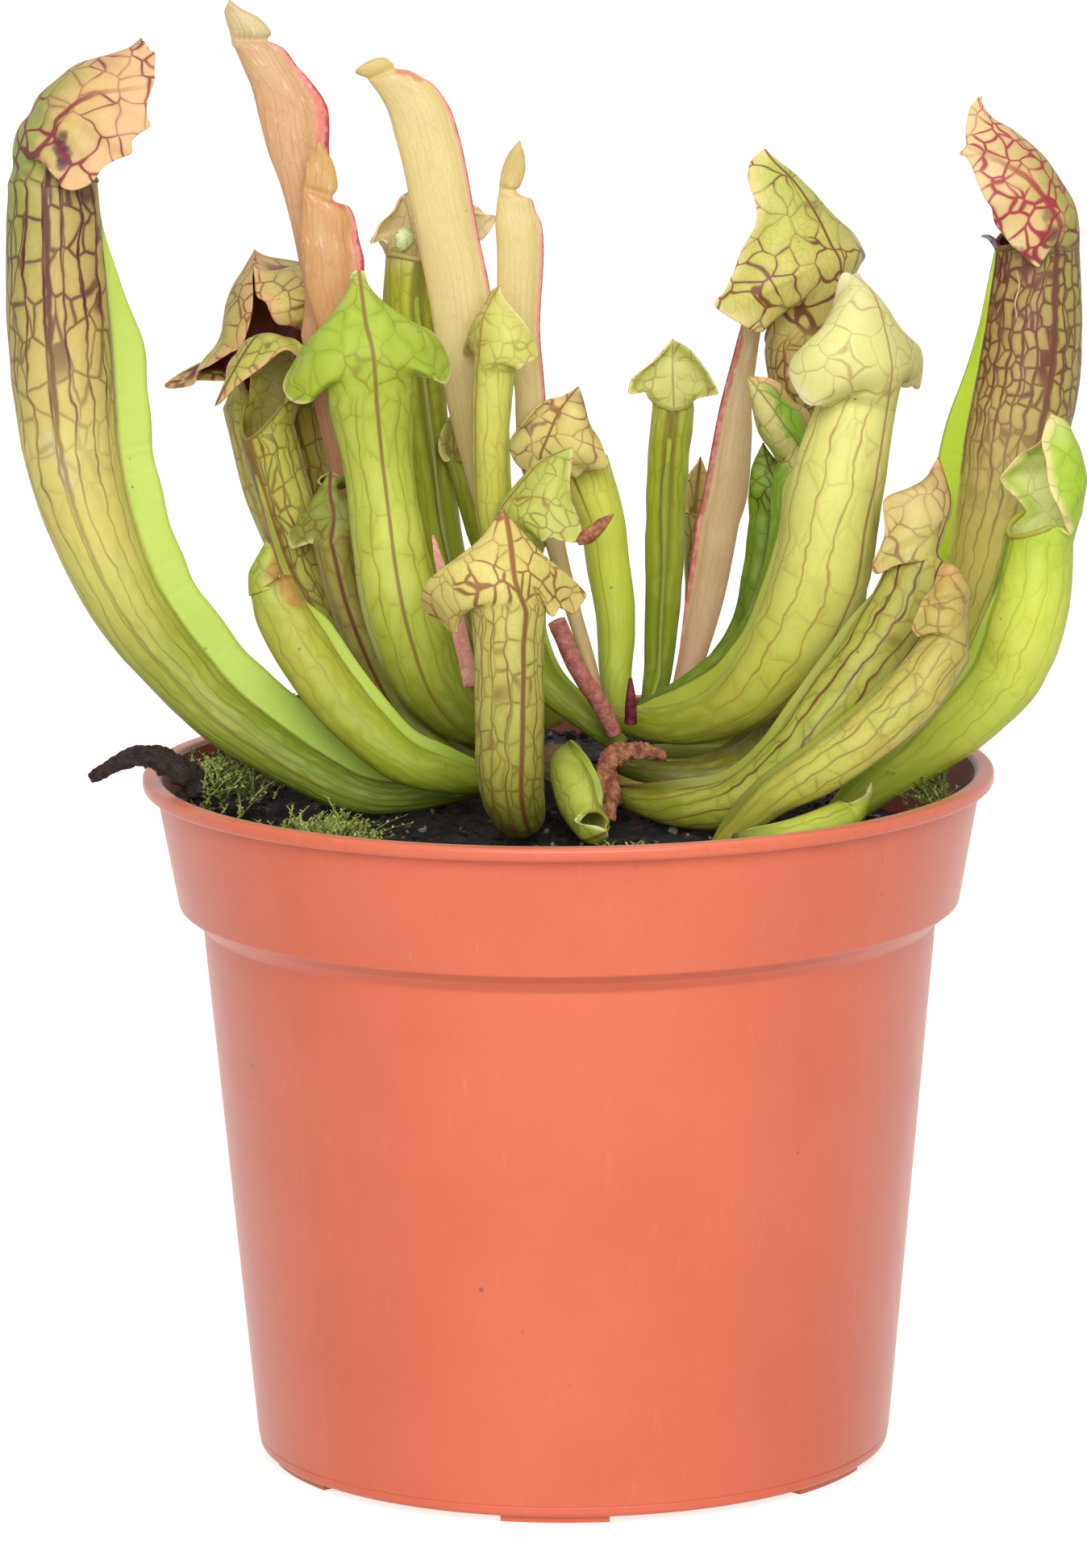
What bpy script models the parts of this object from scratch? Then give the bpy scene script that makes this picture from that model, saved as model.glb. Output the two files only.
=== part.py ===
"""Potted pitcher plant: a clump of hooded pitchers in a 12 cm plastic nursery pot.

Lengths in the tables are millimetres; meshes are built in metres, +Z up.
The origin is the centre of the pot's underside, on the surface that the pot stands on.
"""
import bpy
import bmesh
import math
from mathutils import Vector

MM = 0.001
GAP = 0.3

# Pot, a 12 cm nursery pot
POT_HEIGHT = 98.0
RIM_RADIUS = 60.0
RIM_THICKNESS = 1.6
COLLAR_TOP_RADIUS = 58.0
COLLAR_LOW_RADIUS = 55.2
COLLAR_HEIGHT = 18.7
STEP_HEIGHT = 2.8
BODY_TOP_RADIUS = 51.8
BASE_RADIUS = 45.0
WALL = 1.0
FLOOR_THICKNESS = 1.4
FOOT_HEIGHT = 1.0
FOOT_RADII = (40.0, 43.6)
FOOT_COUNT = 6
FOOT_SEGMENTS = 2
FOOT_TURN = 93.75
BOSS_RADIUS = 5.0
FLOOR_RING = 23.0
FLOOR_CORNER = 1.0
RIM_INSIDE = 2.2
RIM_ROUND = 0.5
RIM_UNDER = 0.3
STEP_ROUND = 0.9
BASE_ROUND = 0.5
BASE_LINE = 1.4
POT_SEGMENTS = 36
SHARP_ANGLE = math.radians(40)
DRAIN_COUNT = 6
DRAIN_RADIUS = 3.2
DRAIN_CIRCLE = 29.0
DRAIN_TURN = 3.0
DRAIN_SIDES = 12

# Soil surface
SOIL_LEVEL = 93.3
SOIL_RINGS = (9.0, 14.0, 20.0, 27.0, 34.0, 41.0, 48.0)
SOIL_SEGMENTS = 32
MOUND_CENTRE = (-30.0, 30.0)
MOUND_RISE = 12.0
MOUND_SPREAD = 13.0
CROWN_CENTRE = (-2.0, 0.0)
CROWN_RISE = 4.0
CROWN_SPREAD = 8.0
SUNK_SIDE = 8.0
SUNK_FROM_X = 26.0
SUNK_TO_X = 46.0
SOIL_WAVE = 0.35
SOIL_WAVE_RATES = (0.9, 0.8)
SOIL_SLACK = 0.3
STEM_SLACK = 0.5

# Rhizome in its hole
RHIZOME_RADIUS = 5.6
RHIZOME_TOP = 101.0
RHIZOME_BOTTOM = 80.0
RHIZOME_SIDES = 14
RHIZOME_LEVELS = [(RHIZOME_BOTTOM, 1.0), (93.0, 1.0), (97.5, 0.98), (99.6, 0.84), (RHIZOME_TOP, 0.45)]
KNOB_DEPTH = 0.10
KNOB_COUNT = 5

# Pitcher walls: thickness of the blade, half-widths of the wing, the least hollow radius, how far the
# seam of the inside stands back and its half-width, and how far each mouth looks up
BLADE = 0.7
WING_ROOT = 0.38
WING_TIP = 0.32
HOLLOW_LEAST = 0.4
SEAM_BACK = 0.02
SEAM_HALF = 0.12
LIFT = 0.55
HOLLOW_FROM = 0.55
WING_GROWS = (0.02, 0.25)
WING_FADES = (0.80, 1.0)

# Each pitcher: spine points (x, y, z, radius) from base to mouth, the tip of its hood, the way the
# mouth faces in degrees from +X, half-width of the hood along the sheet, how far its lobes droop, how
# pointed it is, the width of the wing, how high its midline arches, the half-angle of the hood's bend,
# colour, and how many rows of cells its tube has.
GREEN = (0.42, 0.58, 0.14)
LIME = (0.62, 0.72, 0.28)
OLIVE = (0.45, 0.44, 0.20)
RUST = (0.55, 0.40, 0.22)
TAN = (0.80, 0.62, 0.38)

PITCHERS = {
    "pitcher_tall_left": dict(
        spine=[(-13.0, -10.0, 97.5, 1.8), (-29.0, -14.0, 97.0, 2.6), (-45.5, -15.0, 106.5, 3.8),
               (-54.0, -14.0, 114.5, 4.4), (-62.0, -13.0, 125.5, 5.2), (-68.0, -11.0, 142.0, 6.4),
               (-70.0, -10.0, 161.0, 7.1), (-70.5, -10.0, 182.5, 6.2)],
        tip=(-58.0, -9.5, 201.5), face=8, hood=23.0, droop=6.0, point=0.38, wing=4.8, arch=0.26,
        fold=2.3, color=OLIVE, rows=11),
    "pitcher_open_back_left": dict(
        spine=[(-12.5, 7.5, 100.0, 1.7), (-21.0, 12.5, 104.0, 2.8), (-29.0, 16.0, 112.5, 3.9),
               (-35.0, 18.0, 123.0, 5.2), (-39.5, 19.0, 135.5, 6.4), (-41.5, 19.0, 148.0, 7.2)],
        tip=(-44.0, 24.0, 168.5), face=-75, hood=17.0, droop=8.0, point=1.2, wing=1.2,
        color=OLIVE, rows=8),
    "pitcher_small_open_left": dict(
        spine=[(-13.5, 1.5, 98.5, 1.5), (-21.5, 5.0, 102.5, 1.9), (-30.5, 7.0, 113.0, 2.6),
               (-36.0, 7.5, 123.5, 3.2), (-39.5, 6.5, 135.5, 3.8), (-42.0, 5.5, 145.5, 4.0)],
        tip=(-48.0, -1.0, 149.5), face=-140, hood=8.0, droop=0.5, point=0.7, wing=1.0, arch=1.3,
        color=OLIVE, rows=7),
    "pitcher_green_left": dict(
        spine=[(-10.5, 1.5, 102.5, 1.8), (-15.0, -5.0, 106.0, 3.4), (-19.5, -9.0, 112.5, 5.0),
               (-22.5, -10.0, 121.0, 5.6), (-24.5, -9.0, 130.0, 5.2), (-26.0, -7.0, 141.5, 4.9),
               (-27.0, -6.0, 151.0, 6.0)],
        tip=(-28.5, -5.0, 169.0), face=90, hood=12.0, droop=3.5, point=1.25, wing=1.6,
        color=GREEN, rows=9),
    "pitcher_slim_left": dict(
        spine=[(-15.5, -6.0, 99.5, 1.5), (-22.0, -4.0, 105.5, 2.3), (-27.0, -1.5, 114.0, 3.0),
               (-30.5, -1.0, 122.8, 3.1), (-32.5, -0.5, 131.0, 3.2)],
        tip=(-33.5, 1.0, 140.5), face=90, hood=6.0, droop=1.5, point=1.1, wing=0.6,
        color=OLIVE, rows=6),
    "pitcher_low_left": dict(
        spine=[(-9.5, -15.0, 99.0, 1.8), (-16.0, -22.0, 101.0, 2.4), (-23.0, -24.0, 103.5, 3.0),
               (-29.5, -22.0, 109.0, 3.6), (-34.5, -20.0, 115.0, 3.9), (-39.0, -19.0, 122.5, 3.7),
               (-41.0, -18.0, 127.5, 3.1)],
        tip=(-40.5, -17.0, 134.0), face=20, hood=6.0, droop=0.4, point=0.5, wing=1.6, arch=0.3,
        fold=2.0, color=LIME, rows=8),
    "pitcher_front": dict(
        spine=[(-5.0, -16.5, 98.5, 1.8), (-6.0, -27.0, 97.5, 2.7), (-7.0, -36.5, 98.8, 3.7),
               (-8.0, -43.5, 105.0, 4.5), (-8.0, -45.5, 114.5, 4.7), (-8.0, -45.0, 123.0, 4.8),
               (-8.0, -44.0, 127.5, 5.1)],
        tip=(-8.5, -42.0, 142.0), face=92, hood=11.0, droop=2.5, point=1.25, wing=1.2,
        color=LIME, rows=9),
    "pitcher_back_mid": dict(
        spine=[(7.5, 13.0, 102.5, 1.6), (7.0, 20.0, 108.0, 2.3), (7.0, 22.0, 116.5, 2.9),
               (6.0, 22.5, 123.5, 3.1), (5.0, 22.0, 130.5, 3.3), (2.5, 21.5, 138.0, 3.8)],
        tip=(1.0, 21.0, 149.5), face=205, hood=9.5, droop=2.0, point=0.7, wing=1.6, arch=0.2,
        fold=1.3, color=GREEN, rows=7),
    "pitcher_hooded_mid": dict(
        spine=[(7.5, -5.5, 102.0, 1.4), (2.0, -6.0, 106.5, 1.8), (-3.5, -5.0, 111.5, 2.3),
               (-6.5, -3.5, 118.0, 2.9), (-8.0, -2.0, 125.5, 3.6), (-7.0, -1.5, 130.5, 4.0)],
        tip=(1.5, -2.0, 143.5), face=-25, hood=11.0, droop=2.5, point=0.75, wing=0.8, arch=0.3,
        fold=1.6, color=LIME, rows=7),
    "pitcher_round_mouth": dict(
        spine=[(-8.0, 10.0, 102.5, 1.6), (-13.0, 17.0, 110.5, 2.3), (-17.0, 20.5, 123.0, 3.0),
               (-19.5, 21.0, 138.0, 3.5), (-21.0, 21.0, 151.0, 3.9), (-21.5, 21.0, 160.5, 4.3),
               (-20.5, 20.5, 168.5, 4.7)],
        tip=(-21.5, 22.0, 178.0), face=-80, hood=11.0, droop=2.5, point=0.8, wing=0.8, arch=0.35,
        color=GREEN, rows=8),
    "pitcher_slim_mid": dict(
        spine=[(-2.0, 4.5, 103.0, 1.4), (-5.5, 5.5, 112.0, 1.9), (-8.5, 5.5, 123.5, 2.3),
               (-10.5, 5.0, 135.5, 2.5), (-10.5, 4.0, 145.0, 2.6), (-10.0, 4.0, 154.0, 3.0)],
        tip=(-9.0, 5.0, 165.5), face=62, hood=6.5, droop=1.5, point=1.1, wing=0.8,
        color=LIME, rows=7),
    "pitcher_small_behind": dict(
        spine=[(-4.0, 13.0, 103.0, 1.4), (-7.0, 17.0, 113.0, 1.8), (-10.5, 17.5, 124.5, 2.1),
               (-13.0, 17.5, 132.5, 2.2), (-14.5, 17.5, 139.0, 2.4)],
        tip=(-14.5, 19.0, 148.5), face=-60, hood=4.0, droop=1.5, point=1.1, wing=0.5,
        color=LIME, rows=6),
    "pitcher_slim_right": dict(
        spine=[(11.5, 15.0, 102.5, 1.5), (13.0, 20.5, 108.0, 2.0), (14.0, 22.0, 121.0, 2.7),
               (14.5, 22.0, 135.0, 2.9), (15.5, 22.0, 146.0, 3.0)],
        tip=(15.5, 24.0, 155.5), face=-90, hood=6.5, droop=1.2, point=1.0, wing=1.0,
        color=GREEN, rows=7),
    "pitcher_striped_behind": dict(
        spine=[(16.5, 22.5, 102.0, 1.3), (18.5, 27.5, 110.5, 1.7), (19.0, 30.5, 119.5, 1.9),
               (19.5, 31.0, 128.5, 2.3)],
        tip=(19.5, 32.0, 137.5), face=-60, hood=3.6, droop=1.5, point=1.0, wing=1.0,
        color=LIME, rows=6),
    "pitcher_veined_right": dict(
        spine=[(7.5, -1.0, 98.5, 1.7), (14.0, -4.0, 97.0, 2.5), (21.5, -3.0, 97.0, 3.3),
               (29.0, 1.5, 100.0, 4.0), (35.0, 6.5, 108.0, 4.6), (37.5, 9.5, 120.5, 5.0),
               (37.0, 12.0, 134.0, 5.2), (35.0, 13.0, 145.5, 5.3), (33.5, 13.0, 156.0, 5.3)],
        tip=(28.5, 12.0, 184.0), face=128, hood=18.0, droop=4.0, point=0.85, wing=1.6, arch=0.3,
        fold=1.5, color=RUST, rows=10),
    "pitcher_pale_right": dict(
        spine=[(5.0, 2.5, 105.0, 1.5), (11.0, 0.5, 104.0, 2.3), (18.5, -4.0, 105.3, 3.3),
               (25.5, -8.0, 109.8, 4.7), (31.5, -10.0, 118.0, 6.0), (35.5, -11.0, 127.5, 6.7),
               (37.0, -11.0, 136.5, 6.7), (38.5, -10.0, 143.0, 6.3), (40.5, -9.0, 150.5, 5.4)],
        tip=(38.8, -7.0, 168.5), face=100, hood=12.0, droop=3.0, point=1.0, wing=2.8,
        color=LIME, rows=10),
    "pitcher_small_right": dict(
        spine=[(10.5, 8.0, 104.5, 1.3), (19.0, 6.5, 109.5, 1.8), (26.0, 3.5, 116.5, 2.0),
               (29.0, 2.5, 126.5, 2.2), (30.0, 3.5, 137.5, 2.5)],
        tip=(26.0, 4.5, 152.5), face=160, hood=5.5, droop=2.0, point=0.8, wing=0.6,
        color=GREEN, rows=7),
    "pitcher_dark_small_right": dict(
        spine=[(14.5, 12.0, 105.5, 1.2), (21.0, 12.0, 110.0, 1.7), (25.5, 11.5, 116.5, 2.2),
               (27.5, 11.0, 125.0, 2.4), (28.5, 11.5, 132.0, 2.5)],
        tip=(27.5, 12.5, 142.0), face=150, hood=4.0, droop=1.0, point=0.9, wing=0.6,
        color=GREEN, rows=6),
    "pitcher_tan_hood_right": dict(
        spine=[(5.0, -10.5, 98.0, 1.6), (9.5, -18.0, 97.0, 2.2), (16.0, -25.0, 96.8, 2.8),
               (23.0, -28.0, 98.2, 3.4), (30.0, -28.0, 103.5, 3.8), (35.5, -26.5, 110.0, 4.1),
               (41.5, -24.0, 117.5, 4.3), (46.5, -21.0, 124.5, 4.5), (49.0, -19.0, 130.5, 4.3)],
        tip=(52.0, -14.5, 143.5), face=148, hood=15.0, droop=2.5, point=0.38, wing=1.4, arch=0.25,
        fold=1.6, color=OLIVE, rows=10),
    "pitcher_low_right": dict(
        spine=[(19.5, -33.0, 91.0, 1.5), (23.0, -35.0, 95.5, 1.8), (28.5, -37.8, 100.8, 2.6),
               (34.5, -39.0, 104.6, 3.3), (41.0, -39.5, 109.5, 3.7), (47.0, -39.0, 115.0, 4.0),
               (51.5, -37.0, 121.0, 3.6)],
        tip=(53.0, -34.0, 132.5), face=150, hood=8.0, droop=1.0, point=0.6, wing=1.0, arch=0.35,
        fold=1.9, color=OLIVE, rows=8),
    "pitcher_green_far_right": dict(
        spine=[(31.5, -10.5, 87.5, 1.6), (37.0, -10.0, 91.5, 2.0), (42.5, -10.5, 96.3, 2.6),
               (49.0, -11.0, 101.0, 3.5), (55.0, -12.0, 106.5, 4.6), (61.0, -13.0, 113.5, 5.3),
               (64.0, -15.0, 123.0, 5.6), (65.5, -15.5, 132.5, 4.7)],
        tip=(61.5, -18.5, 143.5), face=205, hood=8.5, droop=1.0, point=0.7, wing=1.4, arch=0.9,
        fold=1.5, color=GREEN, rows=9),
    "pitcher_tall_right": dict(
        spine=[(11.0, 11.0, 97.5, 1.6), (23.5, 15.0, 96.5, 2.3), (36.5, 15.0, 97.5, 3.1),
               (46.5, 12.0, 102.5, 4.1), (54.0, 9.0, 111.5, 5.1), (58.5, 7.0, 120.5, 6.0),
               (61.5, 6.0, 131.0, 6.8), (63.0, 6.0, 141.5, 7.2), (65.0, 6.0, 154.0, 7.2),
               (66.0, 6.0, 170.0, 5.6)],
        tip=(58.0, 3.0, 192.5), face=192, hood=19.0, droop=6.0, point=0.38, wing=4.2, arch=0.22,
        fold=2.1, color=RUST, rows=12),
    "pitcher_rim_small": dict(
        spine=[(22.5, -47.0, 96.2, 1.3), (30.0, -43.5, 96.6, 1.9), (36.8, -37.8, 97.6, 2.3)],
        tip=(41.5, -31.5, 101.5), face=110, hood=3.6, droop=0.8, point=0.7, wing=0.5,
        color=GREEN, rows=5),
    "pitcher_drooping_front": dict(
        spine=[(0.5, -12.0, 102.5, 1.5), (0.0, -20.0, 101.5, 2.6), (1.5, -30.0, 98.5, 3.0),
               (3.0, -38.0, 97.0, 2.4)],
        tip=(5.0, -43.0, 97.0), face=80, hood=3.2, droop=0.4, point=0.6, wing=0.8,
        color=GREEN, rows=5),
}

# Leaves whose stalks start down in the soil, away from the rhizome
BURIED = ("pitcher_low_right", "pitcher_green_far_right")

# Young pitchers, not yet open: flat closed blades. Spine points (x, y, z, half-width) and the tip.
YOUNG = {
    "young_pitcher_tall_left": dict(
        spine=[(-13.0, 7.5, 104.5, 1.4), (-17.5, 9.0, 113.5, 1.7), (-24.0, 10.0, 123.0, 2.1),
               (-29.5, 10.5, 135.0, 2.4), (-32.5, 10.5, 148.0, 2.7), (-34.5, 10.5, 160.5, 3.0),
               (-36.5, 10.5, 173.0, 3.6), (-37.5, 10.5, 184.5, 4.7), (-39.0, 10.5, 192.5, 4.9),
               (-42.5, 10.5, 199.0, 2.6)],
        tip=(-46.5, 10.5, 205.8), color=TAN),
    "young_pitcher_short_left": dict(
        spine=[(-10.0, 5.0, 104.5, 1.3), (-15.0, 4.5, 113.0, 1.6), (-21.5, 5.0, 123.0, 1.9),
               (-27.0, 5.5, 134.5, 2.3), (-30.0, 5.5, 147.0, 2.7), (-31.0, 5.5, 158.5, 3.3),
               (-32.5, 5.5, 169.5, 4.1), (-33.0, 5.5, 175.5, 3.2), (-34.0, 5.5, 181.0, 1.8)],
        tip=(-34.0, 5.5, 186.3), color=TAN),
    "young_pitcher_tall_middle": dict(
        spine=[(-2.5, 8.5, 103.5, 1.4), (-5.5, 10.5, 115.0, 1.8), (-9.0, 12.0, 127.5, 2.1),
               (-11.5, 12.5, 138.0, 2.6), (-13.5, 12.5, 149.5, 3.4), (-15.0, 12.5, 163.5, 4.2),
               (-17.0, 12.5, 177.0, 4.3), (-19.5, 12.5, 188.5, 4.6), (-23.0, 12.5, 194.2, 2.4)],
        tip=(-29.0, 12.5, 195.5), color=TAN),
    "young_pitcher_middle": dict(
        spine=[(4.5, 8.5, 103.5, 1.3), (3.5, 11.0, 109.5, 1.5), (1.0, 13.5, 118.0, 1.8),
               (-1.5, 15.0, 127.5, 2.2), (-4.0, 15.5, 141.0, 3.0), (-5.0, 15.5, 155.0, 3.4),
               (-6.0, 15.5, 168.5, 3.5), (-6.5, 15.5, 177.0, 2.2)],
        tip=(-6.0, 15.5, 185.2), color=TAN),
    "young_pitcher_right": dict(
        spine=[(15.5, 16.5, 103.0, 1.3), (18.0, 20.0, 110.5, 2.0), (20.0, 21.5, 119.5, 2.8),
               (22.0, 22.0, 131.0, 3.1), (23.5, 22.0, 140.0, 3.1), (25.0, 22.0, 149.5, 2.3),
               (26.5, 22.0, 155.0, 1.7)],
        tip=(27.0, 22.0, 159.5), color=TAN),
}
YOUNG_FLATNESS = 0.36
YOUNG_LEAST = 0.8
YOUNG_FACE = -90
YOUNG_SIDES = 8

# Thin round pieces: points (x, y, z, radius)
STALK = [(6.5, -9.5, 104.5, 1.1), (4.5, -11.0, 109.0, 1.25), (1.5, -12.0, 114.0, 1.25),
         (-1.5, -12.5, 121.0, 1.3)]
BUD = [(8.8, -6.8, 105.5, 0.9), (8.8, -7.2, 108.5, 0.8), (8.8, -7.5, 112.0, 0.25)]
BARK = [(-46.0, -13.5, 95.6, 1.2), (-50.0, -14.5, 97.6, 2.0), (-54.5, -15.5, 101.2, 1.9),
        (-58.0, -16.0, 103.2, 1.6), (-62.0, -15.5, 102.4, 1.2), (-66.5, -15.0, 99.8, 0.7)]
DEAD_LEAF = [(13.5, -12.5, 101.8, 0.8), (8.5, -14.5, 103.0, 1.3), (5.5, -18.5, 101.6, 1.5),
             (5.8, -22.5, 98.4, 1.3), (5.6, -26.0, 95.4, 0.8)]
COLORS = dict(
    pot=(0.83, 0.25, 0.13), soil=(0.035, 0.028, 0.022), rhizome=(0.25, 0.20, 0.10),
    stalk=(0.42, 0.13, 0.13), bud=(0.25, 0.02, 0.04), bark=(0.05, 0.035, 0.03),
    dead=(0.42, 0.20, 0.10))
ROD_FACE = -60


def clear_scene():
    for old in list(bpy.data.objects):
        bpy.data.objects.remove(old, do_unlink=True)


def material(name, color, roughness):
    made = bpy.data.materials.new(name)
    made.use_nodes = True
    shader = made.node_tree.nodes["Principled BSDF"]
    shader.inputs["Base Color"].default_value = (*color, 1.0)
    shader.inputs["Roughness"].default_value = roughness
    shader.inputs["Metallic"].default_value = 0.0
    return made


def add_object(name, points, faces, color, roughness=0.5):
    """One closed mesh from points in millimetres, with its faces turned outwards."""
    mesh = bpy.data.meshes.new(name)
    mesh.from_pydata([tuple(c * MM for c in p) for p in points], [], faces)
    shell = bmesh.new()
    shell.from_mesh(mesh)
    bmesh.ops.recalc_face_normals(shell, faces=shell.faces)
    if shell.calc_volume(signed=True) < 0:
        bmesh.ops.reverse_faces(shell, faces=shell.faces)
    shell.to_mesh(mesh)
    shell.free()
    mesh.shade_smooth()
    mesh.set_sharp_from_angle(angle=SHARP_ANGLE)
    made = bpy.data.objects.new(name, mesh)
    made.data.materials.append(material(name, color, roughness))
    bpy.context.collection.objects.link(made)
    return made


def smoothstep(low, high, value):
    share = min(1.0, max(0.0, (value - low) / (high - low)))
    return share * share * (3.0 - 2.0 * share)


# Curves and frames along a spine

CURVE_SAMPLES = 200
TANGENT_STEP = 0.01


def curve_at(points, along):
    """Catmull-Rom curve through the points; every coordinate, the radius too, is blended."""
    spans = len(points) - 1
    place = min(max(along, 0.0), 1.0) * spans
    index = min(int(place), spans - 1)
    t = place - index
    before = points[max(index - 1, 0)]
    start, end = points[index], points[index + 1]
    after = points[min(index + 2, spans)]
    blended = []
    for a, b, c, d in zip(before, start, end, after):
        blended.append(0.5 * (2 * b + (c - a) * t + (2 * a - 5 * b + 4 * c - d) * t * t
                              + (3 * b - a - 3 * c + d) * t ** 3))
    return Vector(blended[:3]), blended[3]


def even_steps(points, count):
    """Parameters that space the rows evenly along the curve's length."""
    samples = CURVE_SAMPLES
    places = [curve_at(points, k / samples)[0] for k in range(samples + 1)]
    run = [0.0]
    for a, b in zip(places, places[1:]):
        run.append(run[-1] + (b - a).length)
    steps = []
    k = 0
    for row in range(count + 1):
        goal = run[-1] * row / count
        while k < samples - 1 and run[k + 1] < goal:
            k += 1
        span = max(run[k + 1] - run[k], 1e-9)
        steps.append((k + min(1.0, (goal - run[k]) / span)) / samples)
    return steps


def frame_at(points, along, azimuth):
    """Centre, radius, tangent, the direction of the front, and the sideways direction."""
    centre, radius = curve_at(points, along)
    ahead = curve_at(points, min(along + TANGENT_STEP, 1.0))[0]
    behind = curve_at(points, max(along - TANGENT_STEP, 0.0))[0]
    tangent = (ahead - behind).normalized()
    angle = math.radians(azimuth)
    wanted = Vector((math.cos(angle), math.sin(angle), LIFT))
    front = (wanted - tangent * wanted.dot(tangent)).normalized()
    return centre, radius, tangent, front, tangent.cross(front)


# Pitchers

# Shares of the hood's length where its neck and its lobes are, the half-angle of the bend at the
# neck, how fast the rim opens to it, the fold that is left at the tip, how the midline leaves the
# mouth and comes to the tip, and how sharply the margin sags and curls
NECK_AT = 0.13
LOBE_AT = 0.40
LOBE_ENDS = 0.95
NECK_ANGLE = 1.75
NECK_EASE = 0.7
TIP_FOLD = 0.6
LEAVING = 0.35
COMING = 0.5
SAG_POWER = 2.2
CURL_POWER = 4
CURL = 0.08
ARCH = 0.05
MARGIN_COLUMN = 0.93
HOOD_ROWS = (0.07, NECK_AT, 0.26, LOBE_AT, 0.60, 0.82)
ARC_COLUMNS = (-0.80, -0.54, -0.27, 0.0, 0.27, 0.54, 0.80)
SMALL_HOOD_ROWS = (NECK_AT, LOBE_AT, 0.72)
SMALL_ARC_COLUMNS = (-0.76, -0.38, 0.0, 0.38, 0.76)
SMALL_MOUTH = 4.2


def is_small(spec):
    return spec["spine"][-1][3] < SMALL_MOUTH


def arc_columns(spec):
    return SMALL_ARC_COLUMNS if is_small(spec) else ARC_COLUMNS


def wing_width(spec, along):
    return spec["wing"] * smoothstep(*WING_GROWS, along) * (1.0 - smoothstep(*WING_FADES, along))


def tube_row(spec, along):
    """Outer and inner points of one closed row, from the seam round the back to the seam."""
    centre, radius, tangent, front, side = frame_at(spec["spine"], along, spec["face"])
    outer, inner = [], []
    wing = wing_width(spec, along)
    root = math.pi - math.asin(min(0.9, WING_ROOT / radius))
    angles = [-root] + [a * math.pi for a in arc_columns(spec)] + [root]
    hollow = max(radius - BLADE, HOLLOW_LEAST)
    for angle in angles:
        ray = side * math.sin(angle) - front * math.cos(angle)
        outer.append(centre + ray * radius)
        inner.append(centre + ray * hollow)
    edge = centre + front * (radius + wing)
    lip = centre + front * (hollow - SEAM_BACK)
    outer = [edge - side * WING_TIP] + outer + [edge + side * WING_TIP]
    inner = [lip - side * SEAM_HALF] + inner + [lip + side * SEAM_HALF]
    return outer, inner


def hood_line(spec, share):
    """The hood's midline, from the back of the mouth to the tip."""
    centre, radius, tangent, front, side = frame_at(spec["spine"], 1.0, spec["face"])
    start = centre - front * radius
    end = Vector(spec["tip"])
    reach = (end - start).length
    near = start + tangent * reach * LEAVING
    far = near.lerp(end, COMING) + (tangent - front) * reach * COMING * spec.get("arch", ARCH)
    left = 1.0 - share
    return (start * left ** 3 + near * 3 * left ** 2 * share
            + far * 3 * left * share ** 2 + end * share ** 3)


def hood_shape(spec, share):
    """Half-width along the sheet and half-angle of its bend, at a share of the hood's length."""
    radius = spec["spine"][-1][3]
    fold = spec.get("fold", 1.0)
    neck_width = NECK_ANGLE * radius
    if share < NECK_AT:
        part = share / NECK_AT
        angle = math.pi + (NECK_ANGLE - math.pi) * part ** NECK_EASE
        return radius * angle, angle
    if share < LOBE_AT:
        part = smoothstep(NECK_AT, LOBE_AT, share)
        return neck_width + (spec["hood"] - neck_width) * part, NECK_ANGLE + (fold - NECK_ANGLE) * part
    part = (1.0 - share) / (1.0 - LOBE_AT)
    return spec["hood"] * part ** spec["point"], fold * (TIP_FOLD + (1.0 - TIP_FOLD) * part)


def hood_row(spec, share):
    """Outer and inner points of one open row of the hood, from margin to margin."""
    front_at_mouth = frame_at(spec["spine"], 1.0, spec["face"])[3]
    here = hood_line(spec, share)
    ahead = hood_line(spec, min(share + TANGENT_STEP, 1.0))
    tangent = (ahead - hood_line(spec, share - TANGENT_STEP)).normalized()
    front = (front_at_mouth - tangent * front_at_mouth.dot(tangent)).normalized()
    side = tangent.cross(front)
    width, bend = hood_shape(spec, share)
    curve = width / bend
    bump = smoothstep(NECK_AT * 0.5, LOBE_AT, share) * (1.0 - smoothstep(LOBE_AT, LOBE_ENDS, share))
    outer, inner = [], []
    columns = [-1.0, -MARGIN_COLUMN] + list(arc_columns(spec)) + [MARGIN_COLUMN, 1.0]
    for column in columns:
        angle = bend * column
        ray = side * math.sin(angle) - front * math.cos(angle)
        sag = -tangent * spec["droop"] * bump * abs(column) ** SAG_POWER
        flare = -front * CURL * spec["hood"] * bump * abs(column) ** CURL_POWER
        point = here + front * curve + ray * curve + sag + flare
        outer.append(point)
        inner.append(point - ray * BLADE)
    return outer, inner


def stitch(lower, upper, faces, flip):
    """Triangles between two rows of vertex numbers, split alike on both skins."""
    for k in range(len(lower) - 1):
        a, b, c, d = lower[k], lower[k + 1], upper[k + 1], upper[k]
        pair = [(a, b, c), (a, c, d)]
        faces.extend([tuple(reversed(f)) for f in pair] if flip else pair)


def cap(ring, faces, flip):
    for k in range(1, len(ring) - 1):
        face = (ring[0], ring[k], ring[k + 1])
        faces.append(tuple(reversed(face)) if flip else face)


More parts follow.
